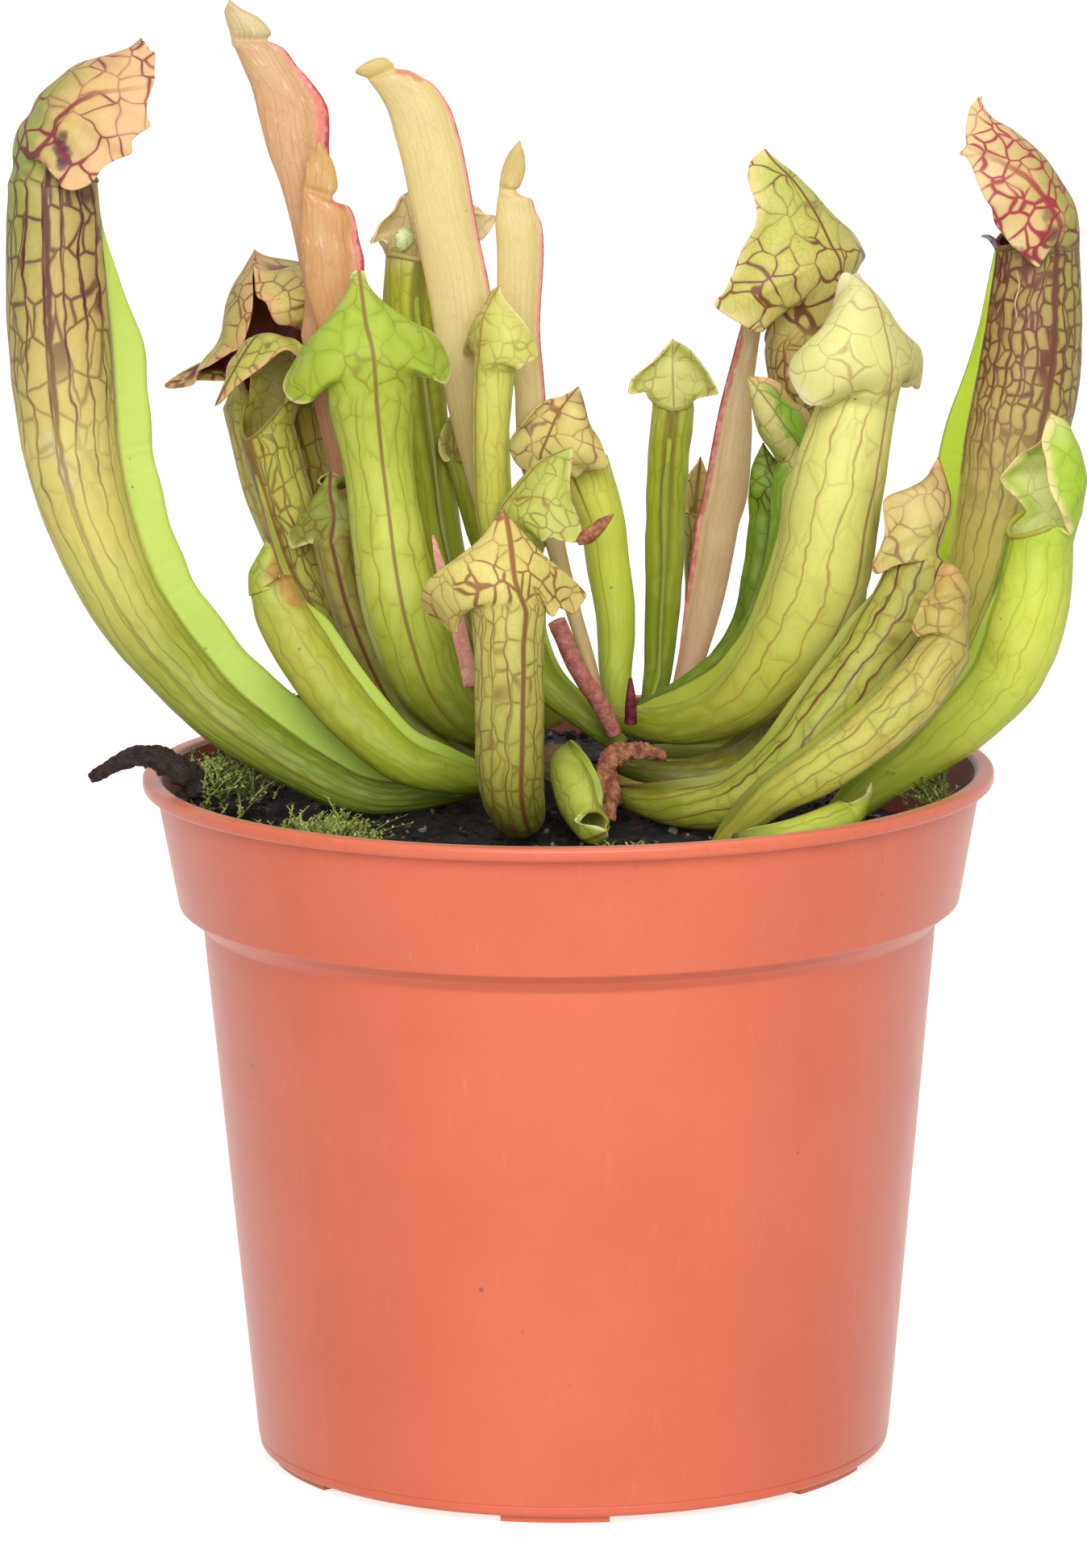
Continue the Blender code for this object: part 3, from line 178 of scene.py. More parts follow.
# Each pitcher: spine points (x, y, z, radius) from base to mouth, the tip of its hood, the way the mouth
# faces in degrees from +X, the wing's width and, where they aren't the usual ones, wing_end, wing_taper and
# the roll of the hood's edge. crest: points along the hood's midline. plus, minus: points along its edge on
# either side; where only one is given, the other is its mirror image. A hood with neither has its
# half-width, how far its lobes droop, how pointed it is and the half-angle of its bend (fold) instead.
PITCHERS = {
    "pitcher_tall_left": dict(
        spine=[(-13, -10, 97.5, 1.8), (-29, -14, 97, 2.6), (-45.5, -15, 106.5, 3.8), (-54, -14, 114.5, 4.4),
               (-62, -13, 125.5, 5.2), (-68, -11, 142, 6.4), (-70, -10, 161, 7.1),
               (-70.5, -10, 182.5, 6.2)],
        tip=(-58.5, -9.5, 201.5), face=8, wing=4.8, style="maroon_net", wing_end=0.97,
        crest=[(-76, -9, 184.5), (-76, -9, 187), (-75, -9, 190), (-73.5, -9, 192), (-72.5, -9, 194),
               (-70.5, -9, 196), (-68, -9, 198), (-66, -9, 199), (-62.5, -9, 200), (-59.5, -9.5, 201),
               (-58, -9.5, 201.5)],
        minus=[(-69.5, -17.5, 185), (-69.5, -18, 184), (-69, -18, 183), (-68, -18.5, 182.5),
               (-66.5, -18.5, 182.5), (-64.5, -18.5, 183.5), (-63, -18.5, 185.5), (-61, -18, 186.5),
               (-59.5, -18, 187), (-59, -18, 187.5), (-59, -17.5, 189), (-58, -17, 190),
               (-56.5, -16.5, 191), (-57, -16, 192), (-57, -15.5, 194), (-56.5, -14.5, 195.5),
               (-56, -13.5, 197), (-56, -12.5, 198.5), (-56, -12, 200.5), (-57, -11, 201),
               (-57.5, -10, 202)]),
    "pitcher_open_back_left": dict(
        spine=[(-12.5, 7.5, 100, 1.7), (-21, 12.5, 104, 2.8), (-29, 16, 112.5, 3.9), (-35, 18, 123, 5.2),
               (-39.5, 19, 135.5, 6.4), (-41.5, 19, 148, 7.2)],
        tip=(-44, 24, 169), face=-75, wing=1.2, roll=0, style="dark_throat",
        crest=[(-41, 26, 153.5), (-42, 26.5, 160.5), (-43.5, 26, 166.5)],
        plus=[(-36, 20, 157.5), (-36.5, 15, 158), (-38.5, 11.5, 159.5), (-40.5, 11, 160), (-41.5, 11, 162),
              (-42, 11.5, 163), (-43.5, 12.5, 164), (-44, 17, 167)],
        minus=[(-55.5, 15, 151.5), (-56.5, 14, 150.5), (-53, 13, 151), (-52, 12.5, 153), (-50, 12, 154),
               (-47, 11, 156), (-46, 10.5, 156.5), (-45, 10.5, 159), (-44, 12, 163), (-44, 17, 166.5)]),
    "pitcher_small_open_left": dict(
        spine=[(-13.5, 1.5, 98.5, 1.5), (-21.5, 5, 102.5, 1.9), (-30.5, 7, 113, 2.6),
               (-36, 7.5, 123.5, 3.2), (-39.5, 6.5, 135.5, 3.8), (-42, 5.5, 145.5, 4)],
        tip=(-49, -1, 150), face=-140, hood=8, droop=0.5, point=0.7, wing=1, style="coral_lip",
        crest=[(-37.5, 8, 155.5), (-38.5, 6, 158), (-40, 5, 159), (-43.5, 2, 159)]),
    "pitcher_green_left": dict(
        spine=[(-10.5, 1.5, 102.5, 1.8), (-15, -5, 106, 3.4), (-19.5, -9, 112.5, 5), (-22.5, -10, 121, 5.6),
               (-24.5, -9, 130, 5.2), (-26, -7, 141.5, 4.9), (-27, -6, 151, 6)],
        tip=(-28.5, -5, 169.5), face=102, wing=1.6, style="green_net",
        crest=[(-26.5, -12, 158.5), (-27.5, -10, 162.5), (-28, -7.5, 166)],
        plus=[(-35.5, -9, 151.5), (-38, -7.5, 151.5), (-39, -6, 153.5), (-38, -4.5, 156.5),
              (-36.5, -4, 159), (-33, -4, 161.5), (-31, -4.5, 164.5), (-30, -5, 167.5), (-29.5, -5, 169)],
        minus=[(-18.5, -8, 154.5), (-16.5, -6, 153.5), (-15.5, -4, 155), (-16.5, -3, 158), (-19, -3, 160.5),
               (-22.5, -4, 162.5), (-26, -4.5, 165), (-27.5, -5, 168), (-27.5, -5, 169)]),
    "pitcher_slim_left": dict(
        spine=[(-15.5, -6, 99.5, 1.5), (-22, -4, 105.5, 2.3), (-27, -1.5, 114, 3), (-30.5, -1, 122.8, 3.1),
               (-32.5, -0.5, 131, 3.2)],
        tip=(-33, 0, 140.5), face=90, wing=0.6, style="olive_rib",
        crest=[(-32.5, -2, 134.5), (-33, -1.5, 137.5)],
        plus=[(-35, -1, 130), (-36, -1, 130.5), (-37.5, -0.5, 130), (-38.5, 0, 129.5), (-39, 0.5, 130),
              (-39, 1, 131.5), (-37.5, 1, 133), (-36, 1, 135.5), (-34, 0.5, 139)]),
    "pitcher_low_left": dict(
        spine=[(-9.5, -15, 99, 1.8), (-16, -22, 101, 2.4), (-23, -24, 103.5, 3), (-29.5, -22, 109, 3.6),
               (-34.5, -20, 115, 3.9), (-39, -19, 122.5, 3.7), (-41, -18, 127.5, 3.1)],
        tip=(-41.5, -17.5, 133.5), face=20, hood=7.4, droop=0.2, point=0.6, wing=1.6, fold=2.9,
        style="low_green",
        crest=[(-44, -19, 126), (-44, -18.5, 129), (-43, -18, 131)]),
    "pitcher_front": dict(
        spine=[(-5, -16.5, 98.5, 1.8), (-6, -27, 97.5, 2.7), (-7, -36.5, 98.8, 3.7), (-8, -43.5, 105, 4.5),
               (-8, -45.5, 114.5, 4.7), (-8, -45, 123, 4.8), (-8, -44, 127.5, 5.1)],
        tip=(-8.5, -42, 141.5), face=113, wing=1.2, style="cream_hood",
        crest=[(-7, -48, 132.5), (-7.5, -45.5, 136.5), (-8, -43, 139.5)],
        plus=[(-15, -44, 126), (-15.5, -43, 124.5), (-17.5, -40, 125.5), (-19.5, -38, 127), (-18, -38, 129),
              (-16, -39, 131), (-12, -40, 134), (-10.5, -41, 138), (-9.5, -42, 140.5)],
        minus=[(-2, -44, 127), (-1, -43, 128), (0.5, -40, 126.5), (1.5, -39, 127.5), (2.5, -38, 129),
               (1, -39, 130.5), (-1.5, -40, 132.5), (-5, -41, 136), (-7.5, -42, 139)]),
    "pitcher_back_mid": dict(
        spine=[(7.5, 13, 102.5, 1.6), (7, 20, 108, 2.3), (7, 22, 116.5, 2.9), (6, 22.5, 123.5, 3.1),
               (5, 22, 130.5, 3.3), (2.5, 21.5, 138, 3.8)],
        tip=(2, 16, 150), face=70, wing=1.6, style="peach_hood",
        crest=[(-2, 16, 137.5), (-3.5, 14.5, 140), (-2.5, 13.5, 143), (-1, 13.5, 146.5),
               (0.5, 14.5, 148.5)],
        plus=[(-4, 17, 136.5), (-6, 14, 138.5), (-7, 12.5, 140.5), (-7.5, 12.5, 142.5), (-7, 12.5, 144),
              (-6, 12.5, 145.5), (-4.5, 12.5, 147), (-2.5, 13.5, 148), (0, 15, 149)],
        minus=[(1, 15, 137), (3, 14.5, 138), (5.5, 14.5, 138.5), (6, 15, 139.5), (5.5, 15, 140.5),
               (5, 15.5, 142.5), (4, 16, 144), (3, 16, 146), (2.5, 16, 148.5)]),
    "pitcher_hooded_mid": dict(
        spine=[(7.5, -5.5, 102, 1.4), (2, -6, 106.5, 1.8), (-3.5, -5, 111.5, 2.3), (-6.5, -3.5, 118, 2.9),
               (-8, -2, 125.5, 3.6), (-7, -1.5, 130.5, 4)],
        tip=(1, -2, 144), face=25, wing=0.8, style="yellow_green",
        crest=[(-9, -3, 135.5), (-7.5, -3, 137.5), (-5, -3, 140.5), (-2.5, -3, 142.5)],
        plus=[(-5, 3, 127.5), (-3.5, 3, 129.5), (-2, 3, 133.5), (-1, 2, 138), (0, 0, 141.5)],
        minus=[(-3.5, -9, 131.5), (-2, -10, 132.5), (-1, -10, 132), (1, -9, 131.5), (2, -8.5, 132),
               (2, -8, 134), (1, -6.5, 136.5), (0.5, -5, 139.5), (1, -3, 143)]),
    "pitcher_round_mouth": dict(
        spine=[(-8, 10, 102.5, 1.6), (-13, 17, 110.5, 2.3), (-17, 20.5, 123, 3), (-19.5, 21, 138, 3.5),
               (-21, 21, 151, 3.9), (-21.5, 21, 160.5, 4.3), (-20.5, 20.5, 168.5, 4.7)],
        tip=(-22, 24, 177), face=-80, wing=0.8, style="peach_green",
        crest=[(-22, 24, 174), (-22.5, 24, 176)],
        plus=[(-13, 17, 170.5), (-11.5, 17, 171), (-9.5, 17, 174), (-11, 19, 174.5), (-12.5, 21, 175.5),
              (-17.5, 23, 176.5)],
        minus=[(-25, 16, 170.5), (-26, 16, 171), (-27.5, 16, 170.5), (-27, 17, 171.5), (-26, 19, 173),
               (-24, 21, 174.5), (-23, 23, 176)]),
    "pitcher_slim_mid": dict(
        spine=[(-2, 4.5, 103, 1.4), (-5.5, 5.5, 112, 1.9), (-8.5, 5.5, 123.5, 2.3), (-10.5, 5, 135.5, 2.5),
               (-10.5, 4, 145, 2.6), (-10, 4, 154, 3)],
        tip=(-9, 5, 166), face=35, wing=0.8, style="pale_hood",
        crest=[(-12, 1.5, 156.5), (-11.5, 2.5, 161), (-10.5, 4, 163.5)],
        plus=[(-13, 9, 155.5), (-14, 9, 155.5), (-13.5, 9, 158), (-11.5, 8, 162), (-10, 6, 165)],
        minus=[(-6.5, 0, 154.5), (-5.5, 0, 155.5), (-4, 0.5, 156), (-3.5, 1, 157), (-4.5, 1.5, 159.5),
               (-7, 2.5, 162.5), (-8.5, 4, 164.5)]),
    "pitcher_small_behind": dict(
        spine=[(-4, 13, 103, 1.4), (-7, 17, 113, 1.8), (-10.5, 17.5, 124.5, 2.1), (-13, 17.5, 132.5, 2.2),
               (-14.5, 17.5, 139, 2.4)],
        tip=(-14.5, 19, 148.5), face=-60, hood=4, droop=1.5, point=1.1, wing=0.5, style="yellow_green"),
    "pitcher_slim_right": dict(
        spine=[(11.5, 15, 102.5, 1.5), (13, 20.5, 108, 2), (14, 22, 121, 2.7), (14.5, 22, 135, 2.9),
               (15.5, 22, 146, 3)],
        tip=(15.5, 25, 155.5), face=-90, wing=1, style="yellow_green",
        crest=[(15.5, 24.5, 150), (15.5, 25, 153)],
        plus=[(19, 20.5, 147.5), (21, 19.5, 148), (22, 19, 148.5), (21.5, 20, 150), (20.5, 21, 151.5),
              (18.5, 22.5, 153.5), (16.5, 24, 155)],
        minus=[(12, 20.5, 147.5), (11.5, 20, 148.5), (10.5, 19.5, 148.5), (9, 19, 148.5), (9.5, 20, 150),
               (10.5, 21, 151), (12.5, 22, 152.5), (14.5, 24, 154.5)]),
    "pitcher_striped_behind": dict(
        spine=[(16.5, 22.5, 102, 1.3), (18.5, 27.5, 110.5, 1.7), (19, 30.5, 119.5, 1.9),
               (19.5, 31, 128.5, 2.3)],
        tip=(19.5, 32, 137.5), face=-60, hood=3.6, droop=1.5, point=1, wing=1, style="cream_hood"),
    "pitcher_veined_right": dict(
        spine=[(7.5, -1, 98.5, 1.7), (14, -4, 97, 2.5), (21.5, -3, 97, 3.3), (29, 1.5, 100, 4),
               (35, 6.5, 108, 4.6), (37.5, 9.5, 120.5, 5), (37, 12, 134, 5.2), (35, 13, 145.5, 5.3),
               (33.5, 13, 156, 5.3)],
        tip=(28.5, 12, 184), face=140, wing=1.6, style="rust_net",
        crest=[(39, 8, 167), (37.5, 8.5, 171), (35.5, 9.5, 175), (32.5, 10.5, 179.5), (29.5, 11.5, 182.5)],
        plus=[(30, 7, 162.5), (29, 6, 160.5), (27.5, 4, 159), (24.5, 3, 160.5), (21, 3, 163),
              (22.5, 4, 165), (24, 5, 168), (25, 6.5, 170.5), (27, 8, 174), (27, 9, 177), (26, 10, 179.5),
              (26, 11, 181.5), (27, 12, 183)],
        minus=[(41, 16, 166), (43, 17, 168), (42.5, 18, 169.5), (40.5, 18, 171.5), (38.5, 18, 173.5),
               (35.5, 17, 176), (32, 15, 180)]),
    "pitcher_pale_right": dict(
        spine=[(5, 2.5, 105, 1.5), (11, 0.5, 104, 2.3), (18.5, -4, 105.3, 3.3), (25.5, -8, 109.8, 4.7),
               (31.5, -10, 118, 6), (35.5, -11, 127.5, 6.7), (37, -11, 136.5, 6.7), (38.5, -10, 143, 6.3),
               (40.5, -9, 150.5, 5.4)],
        tip=(40, -7, 168.5), face=130, wing=2.8, roll=0.05, style="pale_green",
        crest=[(45, -15.5, 156.5), (44, -13.5, 162.5), (42.5, -10.5, 166.5)],
        plus=[(36.5, -14, 151), (35, -17, 151.5), (33, -17, 152), (30.5, -16, 155.5), (31.5, -14, 158),
              (34.5, -12, 160), (36, -10, 162), (37.5, -8, 165.5), (38.5, -7, 168.5)],
        minus=[(47, -6, 152.5), (48.5, -5, 152.5), (49.5, -4, 152), (50, -4, 154.5), (49, -4, 158),
               (46.5, -4.5, 160), (44, -5, 163), (42, -5.5, 166.5), (41, -6, 168.5)]),
    "pitcher_small_right": dict(
        spine=[(10.5, 8, 104.5, 1.3), (19, 6.5, 109.5, 1.8), (26, 3.5, 116.5, 2), (30, 2.5, 126.5, 2.2),
               (31.5, 3.5, 138, 2.5)],
        tip=(25.5, 4, 153), face=95, wing=0.6, style="leaf_hood",
        crest=[(33, 1.5, 142.5), (30.5, 1.5, 146.5), (28, 2.5, 150)],
        plus=[(32, 5, 139.5), (30.5, 5, 140), (29.5, 5, 140.5), (28.5, 5, 142.5), (27.5, 5, 145),
              (26.5, 5, 148), (26, 4.5, 151)],
        minus=[(34.5, 5, 140.5), (35, 5, 143.5), (34, 5, 147.5), (32.5, 5, 149), (30.5, 5, 151.5),
               (28, 4.5, 152.5)]),
    "pitcher_dark_small_right": dict(
        spine=[(14.5, 12, 105.5, 1.2), (21, 12, 110, 1.7), (25.5, 11.5, 116.5, 2.2), (27.5, 11, 125, 2.4),
               (28.5, 11.5, 132, 2.5)],
        tip=(28, 11, 142.5), face=95, wing=0.6, style="dark_small",
        crest=[(29.5, 8.5, 133.5), (29.5, 8.5, 137), (28.5, 9.5, 140)],
        plus=[(26.5, 12, 130), (26, 12, 132), (26, 12, 134), (26.5, 12, 137.5), (27.5, 11.5, 140)],
        minus=[(33, 12, 131), (32.5, 12, 134), (32, 12, 136.5), (31, 12, 138), (29, 11.5, 140.5)]),
    "pitcher_tan_hood_right": dict(
        spine=[(5, -10.5, 98, 1.6), (9.5, -18, 97, 2.2), (16, -25, 96.8, 2.8), (23, -28, 98.2, 3.4),
               (30, -28, 103.5, 3.8), (35.5, -26.5, 110, 4.1), (41.5, -24, 117.5, 4.3),
               (46.5, -21, 124.5, 4.5), (49, -19, 130.5, 4.3)],
        tip=(51.5, -14.5, 144), face=148, wing=1.4, style="tan_hood",
        crest=[(51, -21, 131.5), (52, -20, 135), (53, -18, 138), (52.5, -16, 141)],
        plus=[(42.5, -23, 129), (42, -23.5, 130.5), (43, -23, 132.5), (43.5, -22, 135), (43.5, -21, 137.5),
              (44, -20, 139), (47, -18, 140), (49, -16.5, 141), (50.5, -15, 142.5)]),
    "pitcher_low_right": dict(
        spine=[(19.5, -33, 91, 1.5), (23, -35, 95.5, 1.8), (28.5, -37.8, 100.8, 2.6),
               (34.5, -39, 104.6, 3.3), (41, -39.5, 109.5, 3.7), (47, -39, 115, 4), (51.5, -37, 121, 3.6)],
        tip=(51, -34, 132), face=150, wing=1, style="tan_low",
        crest=[(54.5, -37, 126), (55, -36.5, 128.5), (54, -35.5, 130.5), (52.5, -34.5, 132)],
        plus=[(49, -40, 124), (47.5, -40, 123), (46.5, -39.5, 124.5), (47.5, -39, 126.5), (48.5, -38, 128),
              (49.5, -37, 129), (50, -35.5, 130.5)]),
    "pitcher_green_far_right": dict(
        spine=[(31.5, -10.5, 87.5, 1.6), (37, -10, 91.5, 2), (42.5, -10.5, 96.3, 2.6), (49, -11, 101, 3.5),
               (55, -12, 106.5, 4.6), (61, -13, 113.5, 5.3), (64, -15, 123, 5.6),
               (65.5, -15.5, 132.5, 4.7)],
        tip=(67, -16, 150), face=205, wing=1.4, style="far_green",
        crest=[(71.5, -14, 140), (71, -14.5, 144), (70, -15, 147), (69, -15.5, 149)],
        plus=[(69.5, -20, 133.5), (68.5, -21, 135.5), (67.5, -21.5, 138), (66.5, -21.5, 140.5),
              (66, -21, 144), (65.5, -19, 147)],
        minus=[(62.5, -12, 137.5), (60.5, -12, 139.5), (60, -12.5, 141), (62.5, -13, 143.5),
               (65, -14, 145.5), (66, -15, 147.5)]),
    "pitcher_tall_right": dict(
        spine=[(11, 11, 97.5, 1.6), (23.5, 15, 96.5, 2.3), (36.5, 15, 97.5, 3.1), (46.5, 12, 102.5, 4.1),
               (54, 9, 111.5, 5.1), (58.5, 7, 120.5, 6), (61.5, 6, 131, 6.8), (63, 6, 141.5, 7.2),
               (65.3, 6, 154, 7.3), (66.4, 6, 170, 6)],
        tip=(58.5, 3, 192), face=192, wing=4.2, style="crimson_net", wing_end=1.04, wing_taper=0.38,
        crest=[(72, 6, 173), (71.5, 6, 176.5), (69.5, 5.5, 180), (67.5, 5, 183), (65, 4.5, 185.5),
               (62.5, 4, 187.5), (60, 3.5, 189), (58.5, 3, 191)],
        plus=[(66.5, -1.5, 169.5), (66, -1.5, 168.5), (63.5, -2, 170.5), (62, -2, 172), (60, -2, 174.5),
              (59.5, -2.5, 177), (58.5, -2.5, 178.5), (57.5, -2.5, 180.5), (57, -2, 182), (56, -1.5, 184),
              (55, -1.5, 184.5), (56, -1, 185.5), (56, 0, 187), (56.5, 1, 190), (57, 2, 191),
              (58, 2.5, 192)],
        minus=[(68.5, 13, 167.5), (66.5, 13.5, 169.5), (64.5, 13.5, 171.5), (62.5, 13, 174.5),
               (61, 12, 178), (59.5, 11, 181), (58, 10, 183.5), (58.5, 8, 186), (58, 7, 188.5),
               (58, 5, 190.5)]),
    "pitcher_rim_small": dict(
        spine=[(22.5, -47, 96.2, 1.3), (30, -43.5, 96.6, 1.9), (36.8, -37.8, 97.6, 2.3)],
        tip=(41.5, -31.5, 101.5), face=110, hood=3.6, droop=0.8, point=0.7, wing=0.5, style="green_net"),
    "pitcher_drooping_front": dict(
        spine=[(0.5, -12, 102.5, 1.5), (0, -20, 101.5, 2.6), (1.5, -30, 98.5, 3), (3, -38, 97, 2.4)],
        tip=(5, -43, 97), face=80, hood=3.2, droop=0.4, point=0.6, wing=0.8, style="green_net"),
}

# Young pitchers, not yet open: flat closed blades. Spine points (x, y, z, half-width), the tip, the pair
# of edge points at which the lid starts, the wing's width, its side and where it starts, and the pairs of
# edge points (left x, left z, right x, right z) from there up.
YOUNG = {
    "young_pitcher_tall_left": dict(
        spine=[(-13, 7.5, 104.5, 1.4), (-17.5, 9, 113.5, 1.7), (-24, 10, 123, 2.1), (-29.5, 10.5, 135, 2.4),
               (-32.5, 10.5, 148, 2.7), (-34.5, 10.5, 160.5, 3), (-36.5, 10.5, 173, 3.6),
               (-37.5, 10.5, 184.5, 4.7), (-39, 10.5, 192.5, 4.9), (-42.5, 10.5, 199, 2.6)],
        tip=(-46.5, 10.5, 205.8), lid=11, wing=2.6, wing_side=1, wing_from=0.62, style="young_peach",
        pairs=[(-36.5, 163.9, -31.2, 163.9), (-37.2, 168.3, -31.7, 168.2), (-38.3, 174.1, -32.2, 174),
               (-39.7, 179.6, -32.5, 180.4), (-41.3, 184.1, -32.8, 184.8), (-42.3, 188, -32.7, 187.7),
               (-43.5, 193.2, -33.1, 191), (-44.5, 195.7, -35.4, 194.4), (-45.2, 197.5, -37.1, 196.3),
               (-45.8, 198.9, -38.7, 198.6), (-46.2, 199.5, -40.2, 199.5), (-46.3, 200.3, -41.2, 200),
               (-46.5, 201.2, -40.7, 201), (-46.9, 202.6, -41.3, 202.1), (-47.2, 204.1, -42.7, 203.4),
               (-46.9, 204.8, -44.7, 204.4)]),
    "young_pitcher_short_left": dict(
        spine=[(-10, 5, 104.5, 1.3), (-15, 4.5, 113, 1.6), (-21.5, 5, 123, 1.9), (-27, 5.5, 134.5, 2.3),
               (-30, 5.5, 147, 2.7), (-31, 5.5, 158.5, 3.3), (-32.5, 5.5, 169.5, 4.1),
               (-33, 5.5, 175.5, 3.2), (-34, 5.5, 181, 1.8)],
        tip=(-34, 5.5, 186.3), lid=6, wing=1.8, wing_side=1, wing_from=0.55, style="young_orange",
        pairs=[(-36.1, 165.5, -28, 167), (-36.8, 170.8, -28, 169.7), (-36.9, 173.7, -28.7, 172.7),
               (-36.6, 177.5, -29.1, 175.1), (-36.6, 178.4, -30, 177.1), (-36.5, 179.2, -31.5, 177.5),
               (-36.4, 179.9, -32.3, 178.4), (-36.2, 181, -31.6, 179.6), (-36, 182.7, -31.6, 181),
               (-35.4, 184.2, -32.1, 183.2), (-34.7, 185.3, -33, 184.8)]),
    "young_pitcher_tall_middle": dict(
        spine=[(-2.5, 8.5, 103.5, 1.4), (-5.5, 10.5, 115, 1.8), (-9, 12, 127.5, 2.1),
               (-11.5, 12.5, 138, 2.6), (-13.5, 12.5, 149.5, 3.4), (-15, 12.5, 163.5, 4.2),
               (-17, 12.5, 177, 4.3), (-19.5, 12.5, 188.5, 4.6), (-23, 12.5, 194.2, 2.4)],
        tip=(-29, 12.5, 195.5), lid=8, wing=0.8, wing_side=1, wing_from=0.5, style="young_yellow",
        pairs=[(-19.1, 163.1, -10.4, 164.1), (-20.9, 173.2, -12.1, 172.8), (-22.5, 181.8, -13.4, 180.8),
               (-23.6, 186.2, -14.5, 186), (-24.5, 189.6, -15.8, 190.1), (-25.7, 192, -17.8, 193.1),
               (-26.5, 193.1, -19.5, 194.3), (-27, 193.8, -21.5, 195.4), (-27.2, 194.1, -23.3, 195.7),
               (-27.4, 194.4, -23.8, 196.5), (-28, 194.6, -24.8, 197.2), (-28.5, 194.8, -26.4, 197.1),
               (-29, 195.1, -28, 196.3)]),
    "young_pitcher_middle": dict(
        spine=[(4.5, 8.5, 103.5, 1), (3.5, 11, 109.5, 1), (1, 13.5, 118, 1.1), (-1.5, 15, 127.5, 1.4),
               (-4.5, 15.5, 141, 2.3), (-5, 15.5, 155, 3.4), (-6, 15.5, 168.5, 3.5),
               (-6.5, 15.5, 177, 2.2)],
        tip=(-6, 15.5, 185.2), lid=8, wing=0.8, wing_side=1, wing_from=0.45, style="young_yellow",
        pairs=[(-7, 146, -2.6, 146.6), (-7.3, 151.2, -2.9, 151.2), (-9.3, 159.3, -3.4, 158.7),
               (-9.4, 168.9, -2.8, 168.4), (-9.6, 173.2, -3, 172.9), (-9.4, 175.6, -3.9, 175.1),
               (-9.3, 176.6, -4.4, 176.7), (-9.1, 177.5, -5.7, 177.2), (-9, 178.3, -6.6, 178),
               (-8.9, 179.4, -6, 178.7), (-8.6, 181, -5.3, 180.8), (-7.8, 183, -5.4, 183.1),
               (-6.9, 184.2, -5.8, 184.3)]),
    "young_pitcher_right": dict(
        spine=[(15.5, 16.5, 103, 1.3), (18, 20, 110.5, 2), (20, 21.5, 119.5, 2.8), (22, 22, 131, 3.1),
               (23.5, 22, 140, 3.1), (25, 22, 149.5, 2.3), (26.5, 22, 155, 1.7)],
        tip=(27, 22, 159.5), lid=5, wing=1.3, wing_side=-1, wing_from=0.3, style="young_beige",
        pairs=[(19.7, 133.7, 26.1, 133.6), (21.5, 143.3, 26.7, 141.8), (22.6, 148.1, 26.7, 146.7),
               (23.9, 152.9, 27.3, 152), (25, 157, 28, 156.7), (26, 159.9, 28.3, 159.5)]),
}

# Thin round pieces: points (x, y, z, radius)
STALK = [(6.5, -9.5, 104.5, 1.1), (4.5, -11.0, 109.0, 1.25), (1.5, -12.0, 114.0, 1.25),
         (-1.5, -12.5, 121.0, 1.3)]
BUD = [(8.8, -6.8, 105.5, 0.9), (8.8, -7.2, 108.5, 0.8), (8.8, -7.5, 112.0, 0.25)]
BARK = [(-46.0, -13.5, 95.6, 1.2), (-50.0, -14.5, 97.6, 2.0), (-54.5, -15.5, 101.2, 1.9),
        (-58.0, -16.0, 103.2, 1.6), (-62.0, -15.5, 102.4, 1.2), (-66.5, -15.0, 99.8, 0.7)]
DEAD_LEAF = [(13.5, -12.5, 101.8, 0.8), (8.5, -14.5, 103.0, 1.3), (5.5, -18.5, 101.6, 1.5),
             (5.8, -22.5, 98.4, 1.3), (5.6, -26.0, 95.4, 0.8)]
RHIZOME = [(*CROWN_CENTRE, 80.0, 5.4), (*CROWN_CENTRE, 90.0, 5.4), (*CROWN_CENTRE, 97.0, 5.2),
           (*CROWN_CENTRE, 99.8, 4.2), (*CROWN_CENTRE, 101.0, 2.2)]

# Wings that several leaves share: colour, colour low down and at its streaks, and colour of the edge
GREEN_WING = ("#BCD25A", "#A6C048", "#C9C890")
TAN_WING = ("#A8AE4A", "#8E9440", "#8E5A48")

